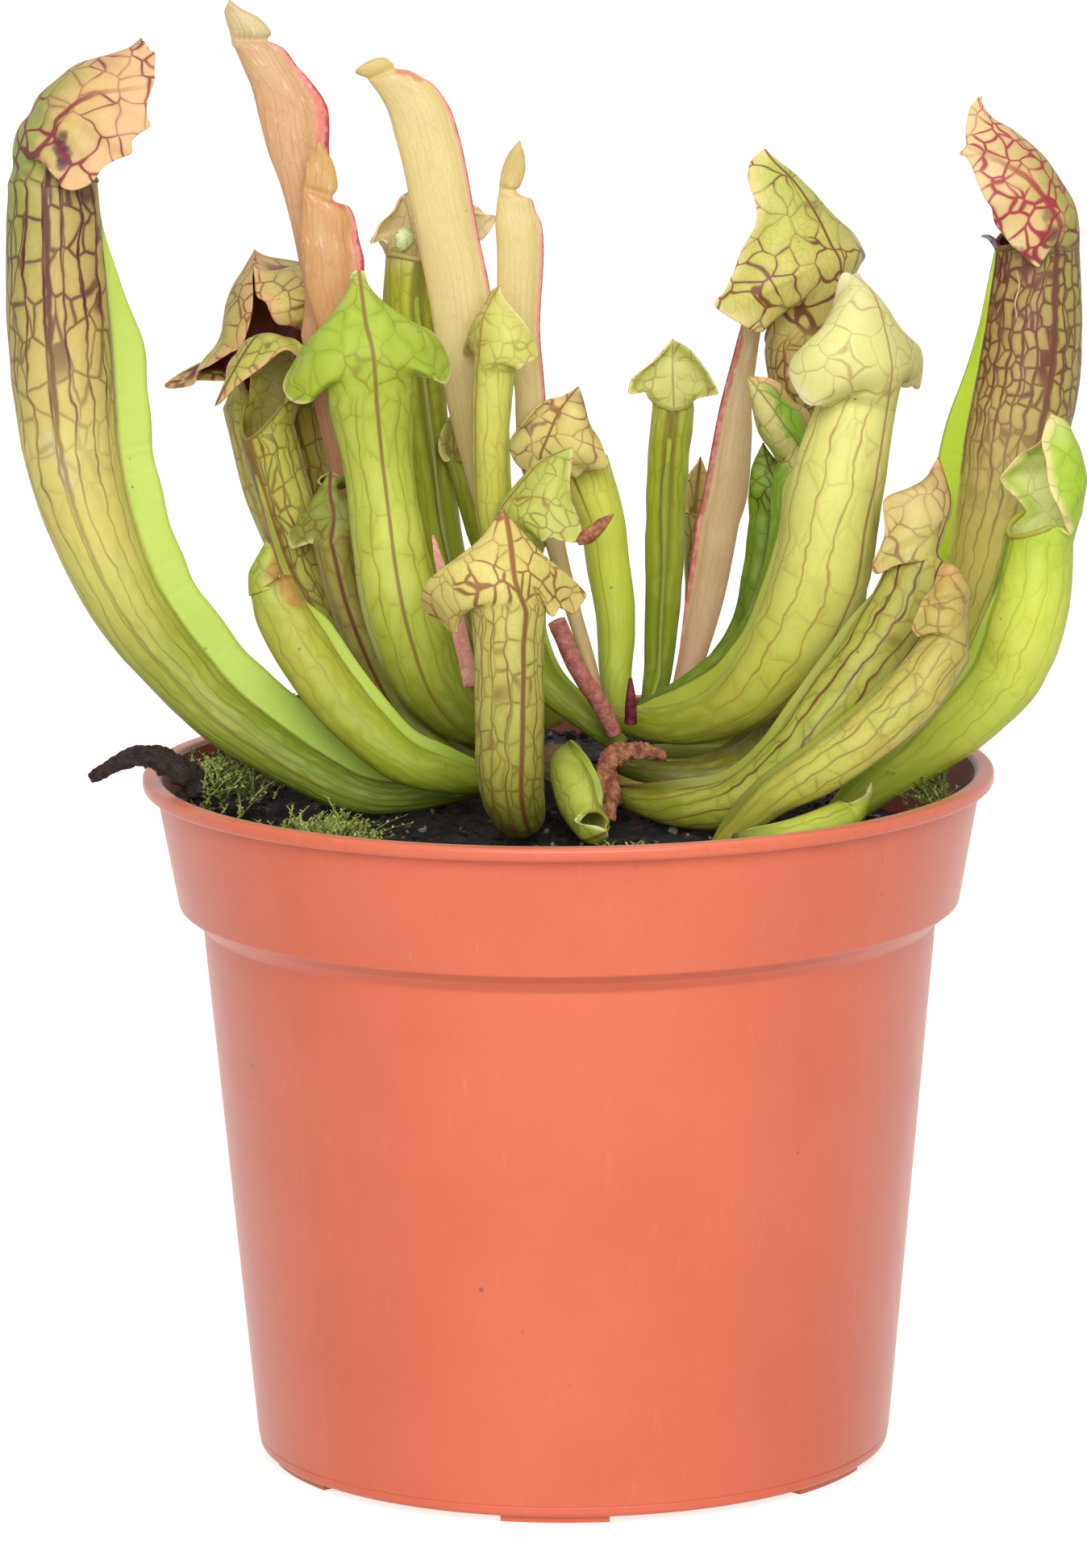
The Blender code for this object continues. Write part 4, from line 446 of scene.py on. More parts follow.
# Leaf styles. stops: colours along the leaf from its base, 0, to its mouth, 1, and to the hood's tip, 2.
# veins: their colours on the tube and on the hood. veins_from: where they come in. halo: how plain the tint
# beside them is. net: spacing of the main veins and of the rungs between them, in mm. widths: half-widths
# in mm of the midrib, main veins, rungs and fine net. strength: how plain each of those is. hood: size of
# the hood's net, its half-widths near the neck and near the edge, in mm, and how plain it is. margin: colour
# of the hood's edge and its reach. root: colour beside the wing. inside: colours of the inner skin and its
# veins. crest: colour along the hood's midline and its reach. rib_at: the midrib's distance from the
# midline. pale: how plain the whitish line beside the wing is.
STYLES = {
    "maroon_net": dict(
        stops={0: "#7C9434", 0.25: "#8A9C38", 0.42: "#AAB24C", 0.55: "#DCD67C", 0.7: "#F0DE94",
               0.88: "#DEBC80", 1: "#C8B47A", 1.15: "#BEBC78", 1.4: "#DDBE88", 1.7: "#F2C496",
               2: "#E09C86"},
        veins=("#5C2238", "#8A2848"), veins_from=(0.55, 0.92), halo=0.2, net=(2.6, 5.6),
        widths=(0.42, 0.19, 0.15, 0.07), strength=(0.9, 0.9, 0.85, 0.08), hood=(3.5, 0.26, 0.13, 0.9),
        margin=("#FACCA8", 7), wing=("#CDE274", "#BCD762", "#B8C878"), root="#5A2A3C",
        inside=("#B87858", "#5A1426"), crest=("#A8B660", 8), rib_at=8.3, pale=0.7),
    "crimson_net": dict(
        stops={0: "#9AAA3E", 0.3: "#E4EC6C", 0.5: "#FBF688", 0.62: "#F8EA8C", 0.75: "#DEC488",
               0.9: "#C8A874", 1: "#B49A66", 1.15: "#C0A878", 1.35: "#F2CC9E", 1.7: "#FAD2AE",
               2: "#F4BCA6"},
        veins=("#6A2036", "#B0364E"), veins_from=(0.6, 0.88), halo=0.22, net=(1.7, 3),
        widths=(0.5, 0.17, 0.14, 0.08), strength=(0.85, 0.8, 0.85, 0.06), hood=(2.2, 0.24, 0.15, 0.92),
        margin=("#FBDDB6", 5), wing=("#C2DC40", "#BCD25A", "#B8C070"), root="#4E1E30",
        inside=("#A86450", "#6A1A2C"), crest=("#B4B45E", 12), rib_at=8.3, pale=0.25),
    "dark_throat": dict(
        stops={0: "#8A9634", 0.3: "#C8D45A", 0.6: "#E4DE74", 0.9: "#E0D06A", 1.05: "#B4B458",
               1.3: "#CCD06A", 1.7: "#DAC67E", 2: "#CFB474"},
        veins=("#6B2A2C", "#7E3A30"), veins_from=(0.1, 0.6), halo=0.12, net=(2.6, 4.6),
        widths=(0.3, 0.14, 0.11, 0.07), strength=(0.85, 0.65, 0.6, 0.15), hood=(2.5, 0.22, 0.11, 0.75),
        margin=("#F0C094", 3), wing=("#B9B070", "#B0B470", "#B08A60"), root="#6B4A2C",
        inside=("#7E2432", "#4A0C18")),
    "coral_lip": dict(
        stops={0: "#8A9634", 0.3: "#BEC252", 0.7: "#D8D070", 1.05: "#C8C45E", 1.5: "#C0C65E", 2: "#CCC878"},
        veins=("#6B2A2C", "#7A3530"), veins_from=(0.2, 0.7), halo=0.1, net=(2.2, 4.4),
        widths=(0.28, 0.14, 0.11, 0.06), strength=(0.85, 0.7, 0.65, 0.1), hood=(2, 0.15, 0.09, 0.65),
        margin=("#EBBE92", 1.4), wing=("#BCC860", "#A6B848", "#C08A70"), root="#8A5A3A",
        inside=("#B0A45C", "#6A2A2A")),
    "green_net": dict(
        stops={0: "#5F6E20", 0.15: "#8A9630", 0.4: "#BDC950", 0.7: "#D2DC64", 1: "#BCCC50", 1.3: "#B5CC46",
               1.7: "#AFC846", 2: "#C9D36A"},
        veins=("#845434", "#8E5A40"), veins_from=(0.15, 0.5), halo=0.06, net=(3.2, 7),
        widths=(0.3, 0.13, 0.08, 0.05), strength=(0.8, 0.45, 0.28, 0.05), hood=(3.2, 0.13, 0.08, 0.42),
        margin=("#F2EDC4", 0.7), wing=GREEN_WING, root="#8A7A3A", inside=("#D2DC88", "#9A5A40")),
    "leaf_hood": dict(
        stops={0: "#5F7A20", 0.5: "#86A030", 1: "#98C048", 1.5: "#A2CC50", 2: "#A8CC54"},
        veins=("#5A5A28", "#5E4A2C"), veins_from=(0.2, 0.6), halo=0.06, net=(2.2, 4.5),
        widths=(0.14, 0.09, 0.07, 0.05), strength=(0.6, 0.45, 0.35, 0.08), hood=(2.6, 0.1, 0.07, 0.55),
        margin=("#F6CFA0", 2.8), wing=("#A6C048", "#8EA83C", "#C9A880"), root="#6A7A30",
        inside=("#C2D074", "#7A5A38")),
    "dark_small": dict(
        stops={0: "#4E6A1E", 0.6: "#76942A", 1: "#84A830", 1.6: "#8AB038", 2: "#7A8A34"},
        veins=("#5A2A24", "#5A2A24"), veins_from=(0.2, 0.6), halo=0.06, net=(2.2, 4.5),
        widths=(0.14, 0.09, 0.07, 0.05), strength=(0.8, 0.55, 0.45, 0.1), hood=(2.2, 0.14, 0.09, 0.75),
        margin=("#8A4A38", 0.35), wing=("#8AA838", "#74902E", "#7A3A30"), root="#5A3A24",
        inside=("#A8B860", "#5A2A24")),
    "olive_rib": dict(
        stops={0: "#7C8A2E", 0.3: "#9AA23E", 0.7: "#A99E50", 1: "#A29A48", 1.3: "#9AA24A", 2: "#8E9A40"},
        veins=("#6E2A30", "#7A3434"), veins_from=(0.05, 0.5), halo=0.1, net=(2.2, 4.2),
        widths=(0.3, 0.12, 0.09, 0.06), strength=(0.9, 0.5, 0.4, 0.1), hood=(2, 0.14, 0.09, 0.55),
        margin=("#E4DCA8", 0.7), wing=("#A9B98A", "#8EA06A", "#D8DCC0"), root="#7A6A3A",
        inside=("#C6B878", "#7A3A34"), pale=0.6),
    "low_green": dict(
        stops={0: "#86962A", 0.3: "#9EAE30", 0.6: "#AFBA40", 0.85: "#C2C656", 1: "#B8C45A", 2: "#AEBE56"},
        veins=("#8E6A40", "#7E5A3C"), veins_from=(0.3, 0.8), halo=0.05, net=(2.4, 5.6),
        widths=(0.18, 0.11, 0.08, 0.05), strength=(0.45, 0.4, 0.25, 0.06), hood=(2.2, 0.12, 0.08, 0.4),
        margin=("#C8C060", 0.6), wing=GREEN_WING, root="#8A7A3A", inside=("#C6B878", "#7A3A34")),
    "peach_green": dict(
        stops={0: "#86962A", 0.3: "#B2C23E", 0.7: "#C8D648", 0.95: "#CCD852", 1.05: "#FFEEC4",
               1.4: "#FFF4DC", 2: "#FFE2BA"},
        veins=("#8E6A40", "#B06A58"), veins_from=(0.3, 0.8), halo=0.05, net=(2.4, 5),
        widths=(0.18, 0.11, 0.08, 0.05), strength=(0.45, 0.4, 0.35, 0.06), hood=(2.2, 0.13, 0.08, 0.45),
        margin=("#FFEAD0", 1.5), wing=GREEN_WING, root="#8A8A3A", inside=("#FFF0D0", "#A83C48")),
    "pale_green": dict(
        stops={0: "#8A8A2A", 0.2: "#A2AC34", 0.45: "#D6DA60", 0.7: "#ECEC8C", 1: "#F0EEA2", 1.3: "#F2F0AC",
               2: "#F8F2C4"},
        veins=("#A86A50", "#B87C56"), veins_from=(0.1, 0.45), halo=0.06, net=(3.4, 7.5),
        widths=(0.2, 0.12, 0.08, 0.05), strength=(0.75, 0.6, 0.25, 0.06), hood=(3.4, 0.14, 0.08, 0.5),
        margin=("#FBF6D8", 2), wing=("#D2DC74", "#B4BE50", "#A8685A"), root="#9A8A44",
        inside=("#EDE6A4", "#B4705A")),
    "pale_hood": dict(
        stops={0: "#8A8A2A", 0.2: "#A6AE38", 0.5: "#D0D45C", 0.8: "#E2E074", 1: "#E6E684", 1.3: "#DEE080",
               2: "#DED68C"},
        veins=("#A87454", "#AE7048"), veins_from=(0.3, 0.6), halo=0.05, net=(2, 5),
        widths=(0.16, 0.09, 0.07, 0.05), strength=(0.75, 0.45, 0.3, 0.05), hood=(1.9, 0.11, 0.08, 0.5),
        margin=("#F2E8B8", 0.8), wing=("#D2DC74", "#B4BE50", "#B8886A"), root="#A8984A",
        inside=("#EDE6A4", "#B4705A")),
    "cream_hood": dict(
        stops={0: "#4A4A22", 0.25: "#6E742C", 0.45: "#93A03B", 0.7: "#B7B65A", 0.9: "#CFC872",
               1.05: "#DCD07E", 1.3: "#EDDE8E", 2: "#F2D890"},
        veins=("#7C4A31", "#9A5A3C"), veins_from=(0, 0.3), halo=0.1, net=(2.3, 4),
        widths=(0.4, 0.14, 0.11, 0.07), strength=(0.9, 0.75, 0.65, 0.12), hood=(2.6, 0.22, 0.13, 0.85),
        margin=("#FBE29E", 2.4), wing=("#B0B858", "#8A8A3C", "#A07058"), root="#6A5A2A",
        inside=("#E4D48C", "#8E4038")),
    "yellow_green": dict(
        stops={0: "#6C7E28", 0.3: "#94A62E", 0.6: "#A8B83A", 0.9: "#B4C440", 1.05: "#C8D06C",
               1.6: "#D2D878", 2: "#BCC864"},
        veins=("#8A6A3C", "#8A5240"), veins_from=(0.3, 0.9), halo=0.06, net=(2.4, 5),
        widths=(0.18, 0.11, 0.08, 0.05), strength=(0.75, 0.45, 0.35, 0.06), hood=(2.2, 0.15, 0.09, 0.6),
        margin=("#F0E8B0", 1), wing=("#B8CC50", "#9EB23C", "#A8B460"), root="#8A7A34",
        inside=("#E8E8A4", "#96603E")),
    "peach_hood": dict(
        stops={0: "#98A43A", 0.3: "#CCDC56", 0.6: "#ECF66A", 0.9: "#F4F878", 1.05: "#EEEA92",
               1.4: "#F8E8A0", 1.8: "#F4DC9E", 2: "#9A6A50"},
        veins=("#8A6A40", "#8E4040"), veins_from=(0.7, 1), halo=0.08, net=(2.2, 5),
        widths=(0.22, 0.1, 0.08, 0.05), strength=(0.8, 0.3, 0.25, 0.05), hood=(2.4, 0.17, 0.1, 0.75),
        margin=("#F0DCA4", 1.2), wing=("#CBDC66", "#B4C44C", "#C2C87C"), root="#9AA04A",
        inside=("#F0EEB0", "#A87050")),
    "rust_net": dict(
        stops={0: "#53551A", 0.3: "#929038", 0.6: "#C8B05C", 0.85: "#DCC074", 1: "#D4BC78", 1.2: "#DCCC80",
               1.5: "#DCD67C", 2: "#C4D470"},
        veins=("#702838", "#7A2C3A"), veins_from=(0.1, 0.5), halo=0.12, net=(2.4, 3.6),
        widths=(0.26, 0.15, 0.13, 0.08), strength=(0.85, 0.65, 0.8, 0.15), hood=(3.3, 0.24, 0.12, 0.85),
        margin=("#FAE8B0", 2.6), wing=("#B0A04E", "#8A7A34", "#7A4030"), root="#5A2A24",
        inside=("#E0BC88", "#7A2A2A")),
    "tan_hood": dict(
        stops={0: "#8D8634", 0.25: "#9CA438", 0.5: "#ABB844", 0.8: "#BCBE58", 1: "#C4BC68", 1.25: "#DED08A",
               1.6: "#E8CE98", 2: "#D09A70"},
        veins=("#6E3438", "#905044"), veins_from=(0.05, 0.5), halo=0.1, net=(2.6, 5),
        widths=(0.34, 0.2, 0.1, 0.06), strength=(0.95, 0.85, 0.4, 0.1), hood=(2.9, 0.18, 0.1, 0.6),
        margin=("#F0D2A0", 2), wing=TAN_WING, root="#5A2A24", inside=("#C8A070", "#7E3E34")),
    "tan_low": dict(
        stops={0: "#A0963C", 0.25: "#BEBE54", 0.5: "#D4D26E", 0.8: "#D2CC70", 1: "#D0C070", 1.25: "#CCBC6C",
               1.6: "#CCB46A", 2: "#E4A878"},
        veins=("#865240", "#8A5240"), veins_from=(0.05, 0.5), halo=0.08, net=(2.2, 4.6),
        widths=(0.22, 0.13, 0.09, 0.06), strength=(0.85, 0.6, 0.4, 0.1), hood=(2.3, 0.15, 0.09, 0.6),
        margin=("#ECC890", 1.3), wing=TAN_WING, root="#5A2A24", inside=("#C8A070", "#7E3E34")),
    "far_green": dict(
        stops={0: "#A8B040", 0.25: "#C0D04C", 0.55: "#D8EA62", 0.8: "#E8F470", 1: "#C8E054", 1.2: "#B8DC4C",
               1.7: "#B0D648", 2: "#DEE29A"},
        veins=("#AE7A4C", "#A06C44"), veins_from=(0.1, 0.5), halo=0.04, net=(2.8, 6),
        widths=(0.18, 0.1, 0.07, 0.05), strength=(0.7, 0.35, 0.18, 0.05), hood=(2.6, 0.11, 0.07, 0.4),
        margin=("#FBEAB8", 1.6), wing=GREEN_WING, root="#9AAC44", inside=("#F6FAB8", "#A0583E")),
}

# Marks on single leaves, by style, one of them painted shade: their places and radius in mm, colour, and how
# plain they are
MARKS = {
    "maroon_net": [
        ([(-69, -17.5, 189.5), (-69, -17.5, 188.5), (-68.5, -17.5, 187),
          (-68.5, -17.5, 186)], 1.6, "#5C2040", 0.8),
        # Painted shade under the hood's lobe, in dark purple, on the top of the tube
        ([(-65.5, -14.5, 182), (-64.5, -14.5, 181), (-63.5, -14.5, 180)], 2.6, "#5C2A44", 0.6),
        ([(-71.5, -17, 148), (-71, -17, 147), (-70.5, -17, 146), (-69.5, -17, 144.5), (-69, -17, 143),
          (-68.5, -17, 141.5)], 1.4, "#E8DCB0", 0.9)],
    "crimson_net": [
        ([(63, -1.5, 170)], 2.6, "#4E2034", 0.8),
        ([(67.5, -1.5, 173)], 2, "#6A2A40", 0.75),
        ([(67.5, -1.5, 176)], 1.5, "#6A2A40", 0.6),
        ([(60.5, 4, 168)], 2.4, "#7A4434", 0.7)],
    "low_green": [
        ([(-40, -20, 129.5), (-39, -20, 128), (-38.5, -20, 126.5), (-38, -20, 125)], 2.4, "#C88E56", 0.7)],
    "leaf_hood": [
        ([(27, 2.5, 150.5), (28, 2.5, 148.5), (29, 2.5, 146.5), (30, 2.5, 144.5), (31.5, 2.5, 142.5),
          (32.5, 2.5, 141)], 2.3, "#EEDCA0", 0.85)],
    "yellow_green": [
        ([(3.5, -7, 134)], 2.2, "#A8503C", 0.9),
        ([(5.5, -6.5, 135.5)], 1.6, "#9A4436", 0.9)],
    "green_net": [
        ([(-1.5, -43, 106)], 1.8, "#6A4630", 0.7)],
    "young_yellow": [
        ([(-22.3, 12.5, 195.6)], 1.5, "#E88070", 0.85),
        ([(-20, 12.5, 194.5)], 1.5, "#EC8C7A", 0.75)],
    "young_orange": [
        ([(-31.5, 5.5, 177.6)], 1.6, "#D8685A", 0.75)],
    "young_peach": [
        ([(-37.5, 10.5, 197)], 1.6, "#E4746A", 0.6)],
}

# Young leaves: colours along from base to tip, colour of the fine lines, wing, its edge, and lid
YOUNG_STYLES = {
    "young_peach": dict(
        stops={0: "#B07848", 0.35: "#E3A97C", 0.6: "#EBB988", 0.85: "#EFC290", 1: "#E0C494"},
        line="#BC6250", wing="#F08E80", edge="#B83846", lid="#E8D8A4", lines=0.6),
    "young_orange": dict(
        stops={0: "#B07848", 0.35: "#E0A272", 0.6: "#E8B079", 0.85: "#EAB87C", 1: "#E0A868"},
        line="#BC6250", wing="#F08E80", edge="#B83846", lid="#E8C078", lines=0.6),
    "young_yellow": dict(
        stops={0: "#C4A066", 0.35: "#EAD492", 0.6: "#F8E6A2", 0.85: "#F8E6A0", 1: "#E8D090"},
        line="#D0A070", wing="#F0B096", edge="#C04C50", lid="#E8D084", lines=0.5),
    "young_beige": dict(
        stops={0: "#CC966A", 0.4: "#E8C898", 0.8: "#ECD4A2", 1: "#E0CC90"},
        line="#C8986C", wing="#C8745C", edge="#B0404A", lid="#E0CC90", lines=0.5),
}


def color(text):
    """Linear RGBA from a colour written as sRGB."""
    parts = [int(text[k:k + 2], 16) / 255.0 for k in (1, 3, 5)]
    linear = [c / 12.92 if c <= 0.04045 else ((c + 0.055) / 1.055) ** 2.4 for c in parts]
    return (*linear, 1.0)


def smoothstep(low, high, value):
    share = np.clip((value - low) / (high - low), 0.0, 1.0)
    return share * share * (3.0 - 2.0 * share)


def value_noise(x, y, cell, seed):
    """Smooth random heights between -1 and 1."""
    table = np.random.default_rng(seed).uniform(-1.0, 1.0, (256, 256))
    gx, gy = x / cell, y / cell
    ix, iy = np.floor(gx).astype(int), np.floor(gy).astype(int)
    fx, fy = gx - ix, gy - iy
    fx, fy = fx * fx * (3 - 2 * fx), fy * fy * (3 - 2 * fy)
    a, b = table[ix % 256, iy % 256], table[(ix + 1) % 256, iy % 256]
    c, d = table[ix % 256, (iy + 1) % 256], table[(ix + 1) % 256, (iy + 1) % 256]
    return (a * (1 - fx) + b * fx) * (1 - fy) + (c * (1 - fx) + d * fx) * fy


# Node trees

class Value:
    """What comes out of a node. A sum or product with it makes the next node."""

    def __init__(self, graph, socket):
        self.graph = graph
        self.socket = socket

    def __add__(self, other):
        return self.graph.math("ADD", self, other)

    def __sub__(self, other):
        return self.graph.math("SUBTRACT", self, other)

    def __rsub__(self, other):
        return self.graph.math("SUBTRACT", other, self)

    def __mul__(self, other):
        return self.graph.math("MULTIPLY", self, other)

    def __abs__(self):
        return self.graph.math("ABSOLUTE", self)

    __radd__ = __add__
    __rmul__ = __mul__


class Graph:
    """A material's node tree, put together by short calls. A colour is written as #RRGGBB."""

    def __init__(self, name):
        self.material = bpy.data.materials.new(name)
        self.material.use_nodes = True
        self.tree = self.material.node_tree
        self.shader = self.tree.nodes["Principled BSDF"]
        self.output = self.tree.nodes["Material Output"]

    def put(self, socket, value):
        if isinstance(value, Value):
            self.tree.links.new(value.socket, socket)
        else:
            socket.default_value = color(value) if isinstance(value, str) else value

    def node(self, kind, inputs, out=0, **settings):
        made = self.tree.nodes.new(kind)
        for key, value in settings.items():
            setattr(made, key, value)
        for key, value in inputs.items():
            self.put(made.inputs[key], value)
        return Value(self, made.outputs[out])

    def math(self, operation, a, b=0.0):
        return self.node("ShaderNodeMath", {0: a, 1: b}, operation=operation)

    def most(self, first, *others):
        for other in others:
            first = self.math("MAXIMUM", first, other)
        return first

    def split(self, vector):
        outputs = self.node("ShaderNodeSeparateXYZ", {0: vector}).socket.node.outputs
        return [Value(self, outputs[axis]) for axis in range(3)]

    def join(self, x, y, z=0.0):
        return self.node("ShaderNodeCombineXYZ", {0: x, 1: y, 2: z})

    def stretch(self, vector, x, y, z=1.0):
        return self.node("ShaderNodeVectorMath", {0: vector, 1: (x, y, z)}, operation="MULTIPLY")

    def attribute(self, name):
        return self.split(self.node("ShaderNodeAttribute", {}, out="Vector", attribute_name=name))

    def place(self):
        """Place in the model in millimetres."""
        where = self.node("ShaderNodeTexCoord", {}, out="Object")
        return self.node("ShaderNodeVectorMath", {0: where, "Scale": 1.0 / MM}, operation="SCALE")

    def step(self, value, low, high):
        """0 below low and 1 above high, or the other way round where low is above high."""
        ends = (0.0, 1.0) if low < high else (1.0, 0.0)
        inputs = {0: value, 1: min(low, high), 2: max(low, high), 3: ends[0], 4: ends[1]}
        return self.node("ShaderNodeMapRange", inputs, interpolation_type="SMOOTHSTEP")

    def noise(self, vector, scale=1.0, detail=1.0, rough=0.5):
        return self.node("ShaderNodeTexNoise", {"Vector": vector, "Scale": scale, "Detail": detail,
                                                "Roughness": rough}, out="Fac")

    def cells(self, vector, scale=1.0, feature="DISTANCE_TO_EDGE", out="Distance", loose=1.0):
        return self.node("ShaderNodeTexVoronoi", {"Vector": vector, "Scale": scale, "Randomness": loose},
                         out=out, feature=feature)

    def mix(self, share, a, b, kind="MIX"):
        return self.node("ShaderNodeMix", {0: share, 6: a, 7: b}, out=2, data_type="RGBA", blend_type=kind)

    def ramp(self, value, stops):
        """Colours between the stops, given as {place: colour}."""
        blended = self.node("ShaderNodeValToRGB", {0: value})
        elements = blended.socket.node.color_ramp.elements
        while len(elements) < len(stops):
            elements.new(0.5)
        for element, (place, shade) in zip(elements, stops.items()):
            element.position = place
            element.color = color(shade)
        return blended

    def bump(self, height, distance, strength):
        normal = self.node("ShaderNodeBump", {"Height": height, "Distance": distance * MM,
                                              "Strength": strength})
        self.put(self.shader.inputs["Normal"], normal)
        return normal

    def thin(self, shade, share, normal=None):
        """Let some of the light through, as a leaf does."""
        inputs = {"Color": shade} if normal is None else {"Color": shade, "Normal": normal}
        through = self.node("ShaderNodeBsdfTranslucent", inputs)
        whole = Value(self, self.shader.outputs[0])
        both = self.node("ShaderNodeMixShader", {0: share, 1: whole, 2: through})
        self.put(self.output.inputs["Surface"], both)

    def finish(self, shade, roughness, specular):
        self.put(self.shader.inputs["Base Color"], shade)
        self.put(self.shader.inputs["Roughness"], roughness)
        self.put(self.shader.inputs["Specular IOR Level"], specular)


def line(g, distance, half, soft=0.09):
    """1 on a line and 0 off it, for a distance from its middle and its half-width in mm."""
    return g.step(distance - half, soft, -soft)


def hood_net(g, where, cell):
    """Distance in mm to the nearest thread of the hood's net, which is bent out of true."""
    x, y, z = g.split(where)
    turns = (where, g.join(y, z, x), g.join(z, x, y))
    moved = [a + (g.noise(turn, 0.20) - 0.5) * 3.2 for a, turn in zip((x, y, z), turns)]
    return g.cells(g.join(*moved), 0.85 / cell) * (cell * 1.2)


def leaf_veins(g, where, across, along, share, style, top, on_hood):
    """How strongly a vein shows, and the distance to the nearest one."""
    main, rung = style["net"]
    middle, side, cross, fine = style["widths"]
    plain_middle, plain_side, plain_cross, plain_fine = style["strength"]
    cell, half_neck, half_edge, plain_hood = style["hood"]
    rib_at = style.get("rib_at", 0.0)
    on_tube = 1.0 - on_hood
    flat = g.join(across, along)
    bend = g.noise(g.stretch(flat, 0.07, 0.10)) - 0.5
    wander = g.noise(g.stretch(flat, 0.36, 0.30)) - 0.5
    away = abs(abs(across) - rib_at + wander * 0.9) if rib_at else abs(across)
    x = across + (bend * 3.0 + wander * 1.3) * g.step(away, 0.0, main)
    y = along + wander * 0.8
    swell = top * 0.3 + 0.7
    uneven = g.noise(g.stretch(flat, 0.3, 0.16)) * 0.9 + 0.55

    sides = g.math("PINGPONG", x, main / 2)
    bent = g.join(x, y)
    ladder = g.cells(g.stretch(bent, 1.0 / main, 1.0 / rung), loose=0.68) * math.sqrt(main * rung)
    thread = g.cells(g.stretch(bent, 2.3 / main, 2.3 / rung), loose=0.9) * (math.sqrt(main * rung) / 2.3)
    net = hood_net(g, where, cell)
    plain = g.step(g.noise(where, 0.17), 0.40, 0.54) * 0.65 + 0.45
    kept = g.step(g.noise(g.join(across * 0.25, along * 0.2, 5.0)), 0.40, 0.56)
    kept = kept * (1.0 - plain_cross) + plain_cross

    rib = line(g, away, swell * middle, middle * 0.5) * plain_middle
    if rib_at:
        rib = rib * g.step(share, 1.9, 1.5)
    long = line(g, sides, swell * side * uneven) * plain_side * uneven
    rungs = line(g, ladder, swell * cross) * (kept * plain_cross * top)
    web = line(g, thread, fine) * (top * plain_fine)
    thick = g.step(share, 1.55, 1.1) * (half_neck - half_edge) + half_edge
    crown = line(g, net, thick * (uneven * plain), 0.10) * (on_hood * plain_hood)
    crown = crown * (plain * 0.40 + 0.60)
    nearest = g.math("MINIMUM", ladder, sides) * on_tube + net * on_hood
    return g.most(rib, g.most(long, rungs) * on_tube, web, crown), nearest


def specks(g, where, amount=0.5):
    """Small dark spots of dirt, few and uneven."""
    near = g.cells(where, 0.30, "F1")
    chosen = g.split(g.cells(where, 0.30, "F1", "Color"))[0]
    return g.step(near, 0.085, 0.04) * g.step(chosen, 1.0 - amount * 0.5, 1.0)


def put_marks(g, base, where, name):
    """The marks of one style over its colours."""
    for places, radius, shade, amount in MARKS.get(name, ()):
        frayed = (g.noise(where, 0.7, 3.0) - 0.5) * (radius * 1.1)
        for place in places:
            away = g.node("ShaderNodeVectorMath", {0: where, 1: place}, out="Value", operation="DISTANCE")
            base = g.mix(g.step(away + frayed, radius, radius * 0.45) * amount, base, shade)
    return base


def ground_color(g, style, name, across, along, share, edge, where, cell):
    """The leaf's colour under its veins, the cloud that makes it uneven, and its marks, one of them painted
    shade.
    """
    base = g.ramp(share * 0.5, {place / 2.0: shade for place, shade in style["stops"].items()})
    cloud = g.noise(g.stretch(g.join(across, along), 0.35, 0.12), 1.0, 3.0, 0.6)
    dull = g.step(cloud, 0.48, 0.78) * (g.step(share, 1.0, 1.12) * -0.25 + 0.45)
    base = g.mix(dull, base, g.mix(0.35, base, "#5E7A18"))
    base = g.mix(g.step(cloud, 0.50, 0.22) * 0.40, base, g.mix(0.5, base, "#E8E488"))
    base = g.mix(g.step(cell, 0.25, 1.1) * 0.16, base, "#F2EEA0")
    margin, margin_reach = style["margin"]
    uneven = edge + (cloud - 0.5) * (margin_reach * 0.7)
    base = g.mix(g.step(uneven, margin_reach, 0.0) * g.step(share, 1.05, 1.3), base, margin)
    if "crest" in style:
        crest, reach = style["crest"]
        off = abs(across) + (cloud - 0.5) * (reach * 1.4)
        zone = g.step(share, 0.7, 1.0) * g.step(share, 1.9, 1.4)
        base = g.mix(g.step(off, reach, reach * 0.4) * zone * 0.85, base, crest)
    return put_marks(g, base, where, name)


def wing_color(g, style, wing, along, share):
    """The wing's colour, streaked across, with its edge in another one."""
    main, low, rim = style["wing"]
    streak = g.noise(g.stretch(g.join(wing, along), 2.2, 0.10), 1.0, 2.0)
    fin = g.mix(g.step(share, 0.2, 0.6), low, main)
    fin = g.mix(g.step(streak, 0.5, 0.8) * 0.35, fin, low)
    return g.mix(g.step(wing, 0.95, 1.0), fin, rim)


